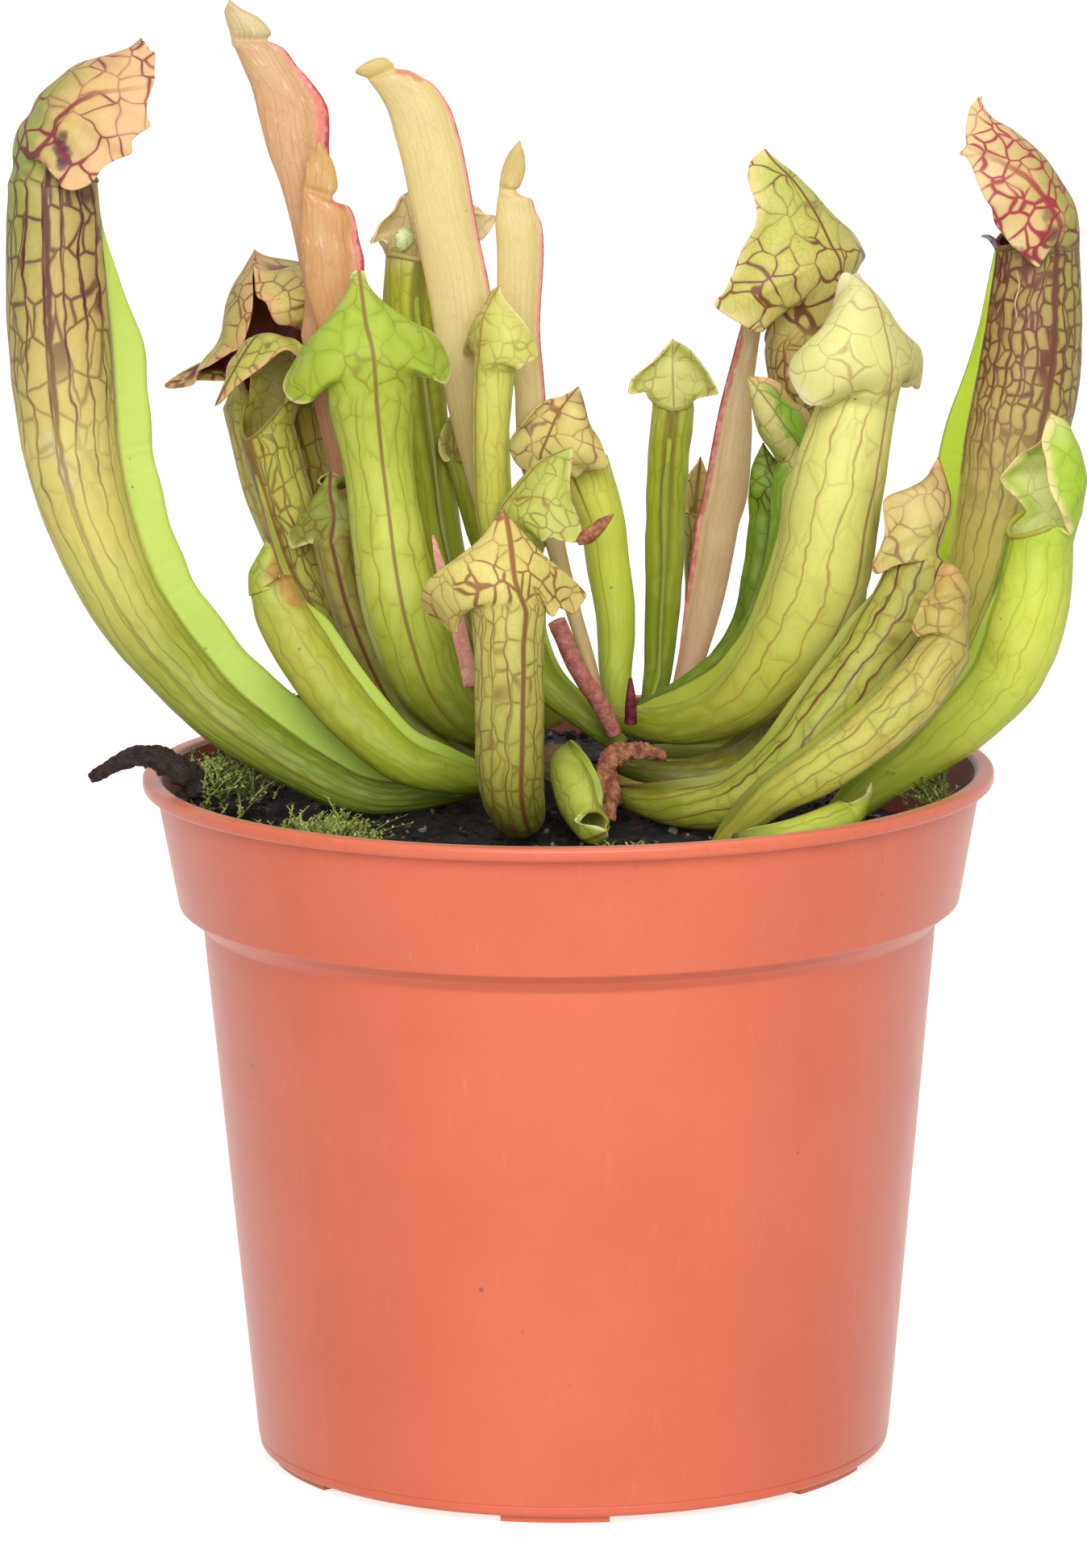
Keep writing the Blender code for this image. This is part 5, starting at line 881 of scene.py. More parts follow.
def leaf_material(name):
    """A leaf's skin: colours along it, the net of veins, the hood's margin, the wing and the inside."""
    style = STYLES[name]
    g = Graph("leaf_" + name)
    across, along, share = g.attribute("leaf_place")
    edge, wing, skin = g.attribute("leaf_kind")
    where = g.place()
    top = g.step(share, *style["veins_from"])
    on_hood = g.step(share, 1.0, 1.12)
    veins, cell = leaf_veins(g, where, across, along, share, style, top, on_hood)
    veins = veins * (top * 0.55 + 0.45)

    base = ground_color(g, style, name, across, along, share, edge, where, cell)
    vein = g.mix(g.step(share, 1.05, 1.4), *style["veins"])
    base = g.mix(g.step(cell, 0.5, 0.0) * (top * style["halo"]), base, vein)
    shade = g.mix(veins, base, vein)

    at_tube = 1.0 - on_hood
    root = g.step(edge, 1.1, 0.3) * at_tube * (top * 0.7 + 0.15)
    shade = g.mix(root, shade, style["root"])
    if "pale" in style:
        shade = g.mix(g.step(edge, 0.35, 0.1) * at_tube * (top * style["pale"]), shade, "#D8CCB8")
    shade = g.mix(g.step(wing, 0.02, 0.10), shade, wing_color(g, style, wing, along, share))

    inside, inside_vein = style["inside"]
    inside = g.mix(veins * 0.7, inside, inside_vein)
    border = g.step(edge, 3.4, 1.0) * g.step(share, 1.02, 1.1) * 0.85
    inside = g.mix(border, inside, shade)
    shade = g.mix(g.step(skin, 0.3, 0.7), shade, inside)
    shade = g.mix(g.step(skin, 1.5, 1.9), shade, g.mix(0.5, vein, base))
    shade = g.mix(specks(g, where) * 0.7, shade, "#3A2418")
    shade = g.mix(1.0, shade, "#FFFFE2", "MULTIPLY")

    grain = g.noise(where, 3.0, 3.0, 0.6)
    normal = g.bump(g.step(cell, 0.0, 0.8) * 0.5 + grain * 0.35, 0.14, 0.5)
    g.finish(shade, grain * 0.14 + 0.40, 0.35)
    g.thin(g.mix(0.2, shade, "#E8F08C"), 0.22, normal)
    return g.material


def young_material(name):
    """A closed young leaf: fine lengthwise lines on a warm ground, a coloured wing and a dull lid."""
    style = YOUNG_STYLES[name]
    g = Graph("leaf_" + name)
    across, along, share = g.attribute("leaf_place")
    lid, wing = g.attribute("leaf_kind")[:2]
    where = g.place()
    flat = g.join(across, along)
    base = g.ramp(share, style["stops"])
    cloud = g.noise(g.stretch(flat, 0.5, 0.10), 1.0, 3.0, 0.6)
    base = g.mix(g.step(cloud, 0.45, 0.8) * 0.5, base, g.mix(0.6, base, "#FBEEC0"))
    base = g.mix(lid * 0.8, base, style["lid"])
    base = put_marks(g, base, where, name)
    drift = (g.noise(g.stretch(flat, 0.25, 0.05), 1.0, 2.0) - 0.5) * 1.2
    rows = g.math("PINGPONG", across + drift, 0.42)
    broken = g.step(g.noise(g.stretch(flat, 1.1, 0.09), 1.0, 2.0), 0.36, 0.62)
    lines = line(g, rows, 0.04, 0.08) * (broken * style["lines"])
    links = g.cells(g.stretch(flat, 1.0, 1.0 / 3.5), loose=0.8)
    lines = g.most(lines, line(g, links, 0.02, 0.05) * (style["lines"] * 0.45))
    shade = g.mix(lines, base, style["line"])
    fin = g.mix(g.step(g.noise(where, 0.5, 2.0), 0.3, 0.8), style["wing"], "#FAB4A2")
    shade = g.mix(g.step(wing, 0.05, 0.5), shade, fin)
    rim = wing + (g.noise(where, 0.9, 2.0) - 0.5) * 0.5
    shade = g.mix(g.step(rim, 0.72, 0.92) * 0.9, shade, style["edge"])
    # Pale flecks high on the blade: partly real pale scabs, partly painted highlight streaks
    pale_fleck_and_highlight = g.step(g.noise(g.stretch(flat, 1.2, 0.35), 1.0, 2.0), 0.62, 0.68)
    shade = g.mix(pale_fleck_and_highlight * g.step(share, 0.72, 0.85) * 0.55, shade, "#F6EBD0")
    shade = g.mix(specks(g, where, 0.35) * 0.6, shade, "#6A4428")
    grain = g.noise(where, 2.6, 3.0, 0.6)
    normal = g.bump(grain * 0.5 + lines * -0.5, 0.12, 0.5)
    g.finish(shade, 0.42, 0.4)
    g.thin(g.mix(0.3, shade, "#F8E0A0"), 0.28, normal)
    return g.material


def pot_material():
    """Satin terracotta-orange plastic with faint marks, a few specks of dirt, painted shade on the inner wall
    and a painted shadow line under the collar.
    """
    g = Graph("terracotta_plastic")
    where = g.place()
    x, y, z = g.split(where)
    shade = g.mix(g.step(g.noise(where, 0.035, 3.0, 0.55), 0.3, 0.75), "#DE6F50", "#D76747")
    dust = g.noise(g.stretch(where, 0.5, 0.5, 0.12), 1.0, 4.0, 0.7)
    shade = g.mix(g.step(dust, 0.58, 0.8) * 0.18, shade, "#F3A58E")
    dots = g.cells(where, 0.16, "F1")
    pick = g.split(g.cells(where, 0.16, "F1", "Color"))[0]
    shade = g.mix(g.step(dots, 0.075, 0.03) * g.step(pick, 0.80, 0.9) * 0.75, shade, "#8A3A2C")
    grime = g.step(z, POT_HEIGHT - 7.0, POT_HEIGHT - 1.0) * g.step(g.noise(where, 0.9, 3.0), 0.62, 0.8)
    shade = g.mix(grime * 0.35, shade, "#6E3A2C")
    below = z - COLLAR_BOTTOM
    # Painted shadow: a thin darker line just under the collar's lower edge
    under = g.step(below, 0.2, -0.1) * g.step(below, -1.3, -0.9)
    shade = g.mix(under * 0.35, shade, "#A8452E")
    radius = g.node("ShaderNodeVectorMath", {0: g.join(x, y)}, out="Value", operation="LENGTH")
    past_wall = radius + z * -COLLAR_LEAN - COLLAR_INSIDE
    # Painted shade: the top band of the inner wall, inside the collar, is darkened in uneven patches
    inner = g.step(past_wall, 0.15, -0.15) * g.step(below, 0.7, 4.7)
    painted_inner_shade = inner * (g.noise(where, 0.12, 3.0) * 0.6 + 0.35)
    shade = g.mix(painted_inner_shade, shade, "#5E2A20")
    grain = g.noise(where, 4.0, 2.0)
    scratch = g.noise(g.stretch(where, 0.25, 0.25, 2.2), 1.0, 3.0)
    g.bump(grain * 0.5 + scratch * 0.5, 0.03, 0.35)
    g.finish(shade, dust * 0.14 + 0.30, 0.5)
    g.put(g.shader.inputs["Sheen Weight"], 0.20)
    g.put(g.shader.inputs["Sheen Roughness"], 0.35)
    return g.material


def soil_material(name, dark, light, pale_from):
    """Damp peat: near black with brown grains and a few pale ones."""
    g = Graph(name)
    where = g.place()
    shade = g.mix(g.step(g.noise(where, 0.9, 5.0, 0.75), 0.42, 0.72), dark, light)
    pale, brown = g.split(g.cells(where, 0.9, "F1", "Color"))[:2]
    shade = g.mix(g.step(pale, pale_from, pale_from + 0.02), shade, "#8E8478")
    shade = g.mix(g.step(brown, 0.75, 0.85) * 0.5, shade, "#4A2A1A")
    g.bump(g.noise(where, 1.6, 5.0, 0.75), 0.8, 0.9)
    g.finish(shade, 0.82, 0.35)
    return g.material


def skin_material(name, dark, light, mark, scale=0.5, roughness=0.55, bump=0.12):
    """A mottled natural skin of two tones with marks of a third."""
    g = Graph(name)
    where = g.place()
    shade = g.mix(g.step(g.noise(where, scale, 4.0, 0.65), 0.35, 0.68), dark, light)
    shade = g.mix(g.step(g.noise(where, scale * 3.1, 3.0), 0.56, 0.7) * 0.7, shade, mark)
    g.bump(g.noise(where, scale * 3.0, 4.0, 0.7), bump * 2.0, 0.7)
    g.finish(shade, roughness, 0.4)
    return g.material


def moss_material():
    """Two greens in patches, with pale yellowish tips here and there."""
    g = Graph("moss")
    where = g.place()
    shade = g.mix(g.step(g.noise(where, 0.35, 3.0), 0.35, 0.65), "#7C8A40", "#BCC66E")
    shade = g.mix(g.step(g.noise(where, 1.1, 2.0), 0.55, 0.75), shade, "#E0E0AC")
    g.finish(shade, 0.7, 0.3)
    g.thin(shade, 0.25)
    return g.material


# Meshes

def add_piece(name, points, faces, material, slot, nodes=(), smooth=True, turn_out=True):
    """One piece from points in mm, riding on the root body."""
    mesh = bpy.data.meshes.new(name)
    mesh.from_pydata((np.asarray(points) * MM).tolist(), [], faces)
    if turn_out:
        shell = bmesh.new()
        shell.from_mesh(mesh)
        bmesh.ops.recalc_face_normals(shell, faces=shell.faces)
        if shell.calc_volume(signed=True) < 0:
            bmesh.ops.reverse_faces(shell, faces=shell.faces)
        shell.to_mesh(mesh)
        shell.free()
    if smooth:
        mesh.shade_smooth()
    mesh.materials.append(material)
    piece = bpy.data.objects.new(name, mesh)
    bpy.context.scene.collection.objects.link(piece)
    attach(piece, "root")
    if nodes:
        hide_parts(*nodes)
    return piece


def add_vectors(piece, name, values):
    layer = piece.data.attributes.new(name, "FLOAT_VECTOR", "POINT")
    layer.data.foreach_set("vector", np.asarray(values, np.float32).ravel())


def grid_faces(first, rows, columns, closed=False):
    """Quads of a grid of points numbered row by row."""
    found = []
    for i in range(rows - 1):
        low = first + i * columns
        high = low + columns
        for j in range(columns - (0 if closed else 1)):
            k = (j + 1) % columns
            found.append((low + j, low + k, high + k, high + j))
    return found


def closed_tube(rows, sides, first=0):
    """Faces of a tube of points numbered ring by ring, with both ends closed."""
    faces = grid_faces(first, rows, sides, closed=True)
    faces.append(tuple(first + k for k in reversed(range(sides))))
    faces.append(tuple(first + (rows - 1) * sides + k for k in range(sides)))
    return faces


def joined(parts):
    """The points and faces of several small meshes as one."""
    points, faces, total = [], [], 0
    for part, part_faces in parts:
        faces += [tuple(i + total for i in face) for face in part_faces]
        points.append(part)
        total += len(part)
    return np.concatenate(points), faces


def circle(sides):
    """Angles of the points round a ring."""
    return 2 * math.pi * np.arange(sides) / sides


def lay(directions, amounts):
    """The direction of each row times the amount of each point in it."""
    return directions[:, None, :] * amounts[:, :, None]


def curve_at(points, along):
    """Catmull-Rom curve through the points, at many places; the radius is blended too."""
    table = np.array(points, float)
    spans = len(table) - 1
    place = np.clip(along, 0.0, 1.0) * spans
    index = np.minimum(place.astype(int), spans - 1)
    t = (place - index)[:, None]
    a, b = table[np.maximum(index - 1, 0)], table[index]
    c, d = table[index + 1], table[np.minimum(index + 2, spans)]
    return 0.5 * (2 * b + (c - a) * t + (2 * a - 5 * b + 4 * c - d) * t * t
                  + (3 * b - a - 3 * c + d) * t ** 3)


def run_of(points):
    """Length along a line of points, at each of them."""
    steps = np.linalg.norm(np.diff(points, axis=0), axis=1)
    return np.concatenate([[0.0], np.cumsum(steps)])


def even_steps(points, count):
    """Parameters that space the rows evenly along the curve's length."""
    fine = np.linspace(0.0, 1.0, CURVE_STEPS)
    run = run_of(curve_at(points, fine)[:, :3])
    return np.interp(np.linspace(0.0, run[-1], count + 1), run, fine)


def unit(vectors):
    return vectors / np.linalg.norm(vectors, axis=-1, keepdims=True)


def frames_at(points, along, azimuth):
    """Centres, radii, tangents, fronts and sideways directions at many places."""
    here = curve_at(points, along)
    tangent = unit(curve_at(points, along + 0.01)[:, :3] - curve_at(points, along - 0.01)[:, :3])
    angle = math.radians(azimuth)
    wanted = np.array([math.cos(angle), math.sin(angle), LIFT])
    front = unit(wanted - tangent * (tangent @ wanted)[:, None])
    return here[:, :3], here[:, 3], tangent, front, np.cross(tangent, front)


def mouth_frame(spec):
    """Centre, radius, tangent, front and sideways direction of the mouth."""
    return [v[0] for v in frames_at(spec["spine"], np.array([1.0]), spec["face"])]


def evenly(points, shares, count):
    """Places on the curve through the points, at shares of its length."""
    steps = even_steps(points, count)
    return curve_at(points, np.interp(shares * count, np.arange(count + 1), steps))


def hood_rows(spec, shares):
    """Crest points, tangents, fronts, sideways directions and reach of the hood at many places."""
    centre, radius, tangent, front, side = mouth_frame(spec)
    start = centre - front * radius
    end = np.array(spec["tip"], float)
    reach = np.linalg.norm(end - start)
    near = start + tangent * reach * 0.35
    far = near * 0.5 + end * 0.5 + (tangent - front) * reach * 0.5 * HOOD_ARCH

    def crest(share):
        s = np.clip(share, 0.0, 1.0)
        if "crest" in spec:
            return evenly([start, *spec["crest"], end], s, CREST_STEPS)
        s = s[:, None]
        left = 1.0 - s
        return start * left ** 3 + near * 3 * left ** 2 * s + far * 3 * left * s ** 2 + end * s ** 3

    tangents = unit(crest(shares + 0.01) - crest(shares - 0.01))
    turned = smoothstep(0.0, NECK_AT * 1.8, shares)[:, None]
    tangents = unit(tangent * (1.0 - turned) + tangents * turned)
    sides = unit(side - tangents * (tangents @ side)[:, None])
    return crest(shares), tangents, np.cross(sides, tangents), sides, reach


def neck_shape(spec, shares):
    """Half-width and half-angle of the sheet where the tube opens into the neck."""
    opening = np.clip(shares / NECK_AT, 0.0, 1.0) ** 0.7
    bend = math.pi + (NECK_ANGLE - math.pi) * opening
    return spec["spine"][-1][3] * bend, bend


def plain_shape(spec, shares):
    """Half-widths, half-angles and hang of a small hood that has no points for its edge."""
    neck_width, neck_bend = neck_shape(spec, shares)
    fold = spec.get("fold", 1.0)
    spread = smoothstep(NECK_AT, LOBE_AT, shares)
    left = np.clip((1.0 - shares) / (1.0 - LOBE_AT), 0.0, 1.0)
    width = neck_width + (spec["hood"] - neck_width) * spread
    bend = neck_bend + (fold - neck_bend) * spread
    beyond = shares > LOBE_AT
    round_side = left ** spec["point"]
    if spec["point"] >= 0.7:
        round_side = 0.45 * round_side + 0.55 * smoothstep(-0.1, 1.0, left) * left ** 0.15
    width = np.where(beyond, spec["hood"] * round_side, width)
    bend = np.where(beyond, fold * (0.6 + 0.4 * left), bend)
    hang = smoothstep(NECK_AT * 0.6, 0.30, shares) * (1 - smoothstep(0.30, 0.9, shares))
    return width, bend, spec["droop"] * 1.4 * hang


def section_ends(bend, roll):
    """Where a section of half-width 1 ends: across and forward."""
    ends = sections(np.ones((len(bend), 1)), bend, roll)
    return ends[0][:, 0], ends[1][:, 0]


def given_edge(spec, sign, shares):
    """The hood's edge on one side, from its neck through the points given for it to the tip."""
    centre, radius, _, _, side = mouth_frame(spec)
    own, other = ("plus", "minus") if sign > 0 else ("minus", "plus")
    if own in spec:
        given = np.array(spec[own])
    else:
        given = np.array(spec[other])
        given = given - 2.0 * ((given - centre) @ side)[:, None] * side
    crest, _, front, side, _ = hood_rows(spec, np.array([NECK_AT]))
    neck_width = radius * NECK_ANGLE
    neck = (crest[0] + side[0] * sign * neck_width * math.sin(NECK_ANGLE) / NECK_ANGLE
            + front[0] * neck_width * (1.0 - math.cos(NECK_ANGLE)) / NECK_ANGLE)
    path = np.concatenate([neck[None, :], given, np.array(spec["tip"], float)[None, :]])
    return evenly(path, np.clip((shares - NECK_AT) / (1.0 - NECK_AT), 0.0, 1.0), EDGE_STEPS)


def hood_shape(spec, sign, shares, rows, roll):
    """Half-widths, half-angles and hang of one side of the hood, fitted to its edge where that is given."""
    if "plus" not in spec and "minus" not in spec:
        return plain_shape(spec, shares)
    crest, tangents, fronts, sides = rows
    offset = given_edge(spec, sign, shares) - crest
    x = np.sum(offset * sides, axis=1) * sign
    y = np.sum(offset * fronts, axis=1)
    z = np.sum(offset * tangents, axis=1)
    aim, reach_out = np.arctan2(y, x), np.hypot(x, y)
    bend = 2.0 * aim
    for repeat in range(6):
        end_x, end_y = section_ends(bend, roll)
        bend = bend + 1.6 * (aim - np.arctan2(end_y, end_x))
    end_x, end_y = section_ends(bend, roll)
    width = reach_out / np.hypot(end_x, end_y)
    neck_width, neck_bend = neck_shape(spec, shares)
    late = shares >= NECK_AT
    return np.where(late, width, neck_width), np.where(late, bend, neck_bend), np.where(late, -z, 0.0)


def sections(columns, bend, roll, roll_from=0.72):
    """Across and forward coordinates, for a half-width of 1, and the sheet's angle at each column."""
    fine = np.linspace(0.0, 1.0, 60)
    late = np.clip((fine - roll_from) / (1.0 - roll_from), 0.0, 1.0) ** 1.5
    angle = bend[:, None] * fine - roll[:, None] * late
    step = fine[1]

    def total(values):
        middle = (values[:, 1:] + values[:, :-1]) * 0.5 * step
        return np.concatenate([np.zeros((len(values), 1)), np.cumsum(middle, axis=1)], axis=1)

    across, forward = total(np.cos(angle)), total(np.sin(angle))
    found = []
    for row in range(len(bend)):
        u = np.abs(columns[row])
        found.append((np.interp(u, fine, across[row]), np.interp(u, fine, forward[row]),
                      np.interp(u, fine, angle[row])))
    return tuple(np.array([f[k] for f in found]) for k in range(3))


class Leaf:
    """The grid of one hollow leaf: rows up its tube and on along its hood, columns across its skin."""

    def __init__(self, node, spec):
        self.spec, self.seed = spec, len(node)
        self.big = spec["spine"][-1][3] > BIG_MOUTH
        counts = BIG_COUNTS if self.big else SMALL_COUNTS
        self.tube_rows, self.hood_count, self.arc_count, self.fin_count = counts
        self.steps = even_steps(spec["spine"], self.tube_rows)
        self.centre, self.radius, tangent, front, side = frames_at(spec["spine"], self.steps, spec["face"])
        self.shares = np.linspace(0.0, HOOD_END, self.hood_count + 1)[1:]
        *self.hood, self.reach = hood_rows(spec, self.shares)
        crest = self.centre - front * self.radius[:, None]
        self.crest, self.tangent, self.front, self.side = (
            np.concatenate(both) for both in zip((crest, tangent, front, side), self.hood))
        self.run = run_of(self.crest)
        self.is_hood = np.arange(len(self.crest)) > self.tube_rows
        self.hood_share = self.spread(0.0, self.shares)
        self.tube_share = np.concatenate([self.steps, np.ones(self.hood_count)])
        self.cavity = int(self.tube_rows * CAVITY_FROM)
        self.set_wing()
        self.set_columns()

    def spread(self, on_tube, on_hood):
        """One value on the tube's rows, and the given ones on the hood's."""
        return np.concatenate([np.full(self.tube_rows + 1, on_tube), on_hood])

    def set_wing(self):
        end = self.spec.get("wing_end", WING_END)
        grown = self.spec["wing"] * smoothstep(0.02, 0.25, self.tube_share)
        grown = grown * (1 - smoothstep(end - self.spec.get("wing_taper", WING_TAPER), end, self.tube_share))
        self.wing = np.where(self.is_hood, 0.0, grown)

    def set_columns(self):
        """Places across the skin from -1 to 1; the outermost ones belong to the wing, or the hood's edge."""
        radius = np.concatenate([self.radius, np.ones(self.hood_count)])
        self.root = np.where(self.is_hood, 0.93, 1 - WING_ROOT / (math.pi * radius))
        fins = np.arange(1, self.fin_count + 1) / self.fin_count
        inner = np.linspace(-1.0, 1.0, self.arc_count)[None, :] * self.root[:, None]
        outer = self.root[:, None] + (1 - self.root[:, None]) * fins[None, :]
        self.columns = np.concatenate([-outer[:, ::-1], inner, outer], axis=1)
        self.fin_share = np.concatenate([fins[::-1], np.zeros(self.arc_count), fins])
        self.fin_side = np.concatenate([-np.ones(self.fin_count), np.zeros(self.arc_count),
                                        np.ones(self.fin_count)])

    def set_skin(self):
        """The outer skin's points, the way that each faces, and the half-width of its row."""
        rise = smoothstep(NECK_AT, LOBE_AT, self.shares) * (1 - smoothstep(0.75, 0.97, self.shares))
        roll_h = rise * self.spec.get("roll", EDGE_ROLL)
        sign = np.sign(self.columns)
        self.outer = np.repeat(self.crest[:, None, :], self.columns.shape[1], axis=1)
        self.outward = np.zeros_like(self.outer)
        self.width = np.zeros_like(self.columns)
        for way in (-1, 1):
            width, bend, hang = hood_shape(self.spec, way, self.shares, self.hood, roll_h)
            reach = np.concatenate([math.pi * self.radius, width])[:, None]
            across, forward, angle = sections(self.columns, self.spread(math.pi, bend),
                                              self.spread(0.0, roll_h))
            drop = self.spread(0.0, hang)[:, None] * np.abs(self.columns) ** 2.2
            placed = (self.crest[:, None, :] + lay(self.side, way * across * reach)
                      + lay(self.front, forward * reach) - lay(self.tangent, drop))
            facing = lay(self.side, way * np.sin(angle)) - lay(self.front, np.cos(angle))
            here = (sign == way) | ((way == 1) & (sign == 0))
            self.outer = np.where(here[:, :, None], placed, self.outer)
            self.outward = np.where(here[:, :, None], facing, self.outward)
            self.width = np.where(here, reach + 0 * self.columns, self.width)
        ripple = RIPPLE * np.sin(self.run[:, None] * 0.9 + 2.0 * sign + self.seed)
        ripple = ripple * np.abs(self.columns) ** 4 * smoothstep(0.2, 0.45, self.hood_share)[:, None]
        ripple = ripple * (1 - smoothstep(0.85, 1.0, self.hood_share))[:, None]
        lumps = value_noise(self.columns * self.width + 50, self.run[:, None] + 0 * self.columns,
                            LUMP_LENGTH, self.seed)
        lumps = LUMP * lumps * smoothstep(0.02, 0.2, self.tube_share)[:, None]
        self.outer = self.outer + self.outward * (ripple + lumps)[:, :, None]

    def raise_wing(self):
        """The wing's own points, down the front of the tube."""
        tube, in_fin = ~self.is_hood, self.fin_share > 0
        share, way = self.fin_share[in_fin], self.fin_side[in_fin]
        front, side, run = self.front[tube], self.side[tube], self.run[tube]
        foot = (self.centre + front * self.radius[:, None])[:, None, :]
        sway = WING_SWAY[0] * np.sin(run * 0.12 + 1.0) + WING_SWAY[1] * np.sin(run * 0.31)
        half = WING_ROOT + (WING_TIP - WING_ROOT) * share
        grow = self.wing[tube] * (1.0 + 0.03 * np.sin(run * 0.5))
        self.outer[np.ix_(tube, in_fin)] = (
            foot + lay(front, grow[:, None] * share) + side[:, None, :] * (way * half)[None, :, None]
            + lay(side, sway[:, None] * np.minimum(grow, 1.0)[:, None] * share ** 1.5))

    def set_inner(self):
        """The inner skin, from the cavity's floor up: a blade's thickness in, and closed behind the wing."""
        edge = np.clip((1 - np.abs(self.columns)) * self.width / THINS_OVER, 0, 1)
        thick = np.where(self.is_hood[:, None], MARGIN_BLADE + (BLADE - MARGIN_BLADE) * edge, BLADE)
        inner = self.outer - self.outward * thick[:, :, None]
        tube, in_fin = ~self.is_hood, self.fin_share > 0
        front, side = self.front[tube][:, None, :], self.side[tube][:, None, :]
        seam = self.centre[:, None, :] + front * ((self.radius - BLADE)[:, None, None] - 0.02)
        half = self.fin_side[in_fin] * (0.15 - 0.03 * self.fin_share[in_fin])
        inner[np.ix_(tube, in_fin)] = seam + side * half[None, :, None]
        self.inner = inner[self.cavity:]

    def faces(self):
        """Both skins, the strips that join them at the mouth and along the hood's edge, and the ends."""
        rows, count = self.columns.shape
        inner_rows, base = rows - self.cavity, rows * count
        tip = base + inner_rows * count
        right = count - 1
        outer = [i * count for i in range(rows)]
        inner = [None] * self.cavity + [base + i * count for i in range(inner_rows)]
        faces = grid_faces(0, rows, count) + grid_faces(base, inner_rows, count)
        for skin, first in ((outer, 0), (inner, self.cavity)):
            for low, high in zip(skin[first:self.tube_rows], skin[first + 1:self.tube_rows + 1]):
                faces.append((low + right, low, high, high + right))
        mouth, mouth_inner = outer[self.tube_rows], inner[self.tube_rows]
        faces.append((mouth + right, mouth, mouth_inner, mouth_inner + right))
        for i in range(self.tube_rows, rows - 1):
            a, b, c, d = outer[i], outer[i + 1], inner[i], inner[i + 1]
            faces.append((a, c, d, b))
            faces.append((a + right, b + right, d + right, c + right))
        last, last_inner = outer[-1], inner[-1]
        for j in range(right):
            faces.append((last + j, last + j + 1, tip))
            faces.append((last_inner + j + 1, last_inner + j, tip))
        faces.append((last, last_inner, tip))
        faces.append((last + right, tip, last_inner + right))
        faces.append(tuple(reversed(range(count))))
        faces.append(tuple(base + j for j in range(count)))
        return faces

    def set_places(self):
        """Where each point is across, along and up the leaf, for its veins and colours."""
        mouth_width = math.pi * self.radius[-1]
        is_hood = self.is_hood[:, None]
        widest = np.maximum.accumulate(np.where(is_hood, self.width, mouth_width), axis=0)
        narrowing = (self.width / widest) ** 0.95
        hood_width = mouth_width * (widest / mouth_width) ** 0.45 * narrowing
        paces = np.linalg.norm(np.diff(self.outer[self.tube_rows:], axis=0), axis=2)
        self.places = np.empty((*self.columns.shape, 3))
        self.places[:, :, 0] = self.columns * np.where(is_hood, hood_width, mouth_width)
        self.places[:, :, 1] = self.run[:, None]
        self.places[self.tube_rows + 1:, :, 1] = self.run[self.tube_rows] + np.cumsum(paces, axis=0)
        self.places[:, :, 2] = np.where(self.is_hood, 1.0 + self.hood_share,
                                        self.run / self.run[self.tube_rows])[:, None]

    def kinds(self):
        """How near each point is to the hood's edge or the wing's root, how far out on the wing, its skin."""
        is_hood = self.is_hood[:, None]
        near_tip = (1.0 - self.hood_share)[:, None] * self.reach
        to_edge = np.minimum((1 - np.abs(self.columns)) * self.width, near_tip)
        to_seam = np.maximum((self.root[:, None] - np.abs(self.columns)) * self.width, 0.0)
        kinds = np.zeros((*self.columns.shape, 3))
        kinds[:, :, 0] = np.where(is_hood, to_edge, to_seam)
        kinds[:, :, 1] = np.where(is_hood, 0.0,
                                  self.fin_share[None, :] * np.clip(self.wing / 0.5, 0, 1)[:, None])
        inner = kinds[self.cavity:].copy()
        inner[:, :, 1:] = (0.0, 1.0)
        return np.concatenate([kinds.reshape(-1, 3), inner.reshape(-1, 3), [[0.0, 0.0, 0.0]]])

    def lip(self, first):
        """The rolled rim of the mouth, from the neck's one side round the front to its other."""
        rows = slice(self.tube_rows, self.tube_rows + int(np.searchsorted(self.shares, NECK_AT * 1.2)) + 1)
        inner_rows = slice(rows.start - self.cavity, rows.stop - self.cavity)
        middle = (self.outer[rows] + self.inner[inner_rows]) * 0.5
        path = np.concatenate([middle[::-1, 0], middle[:, -1]])
        path = path[np.concatenate([[True], np.linalg.norm(np.diff(path, axis=0), axis=1) > 0.05])]
        size = LIP * (1.0 if self.big else SMALL_LIP)
        run = run_of(path)
        size = size * np.clip(np.minimum(run, run[-1] - run) / 1.2, 0.15, 1.0)
        ahead = unit(np.gradient(path, axis=0))
        first_axis = unit(np.cross(ahead, np.array([0.0, 0.0, 1.0])))
        second_axis = np.cross(ahead, first_axis)
        turn = circle(LIP_SIDES)
        rings = (path[:, None, :] + lay(first_axis, np.cos(turn)[None, :] * size[:, None])
                 + lay(second_axis, np.sin(turn)[None, :] * size[:, None]))
        count = len(path) * LIP_SIDES
        places = np.tile(self.places[self.tube_rows, 0], (count, 1))
        places[:, 1] += np.repeat(run, LIP_SIDES)
        kinds = np.tile([0.0, 0.0, 2.0], (count, 1))
        return rings.reshape(-1, 3), closed_tube(len(path), LIP_SIDES, first), places, kinds


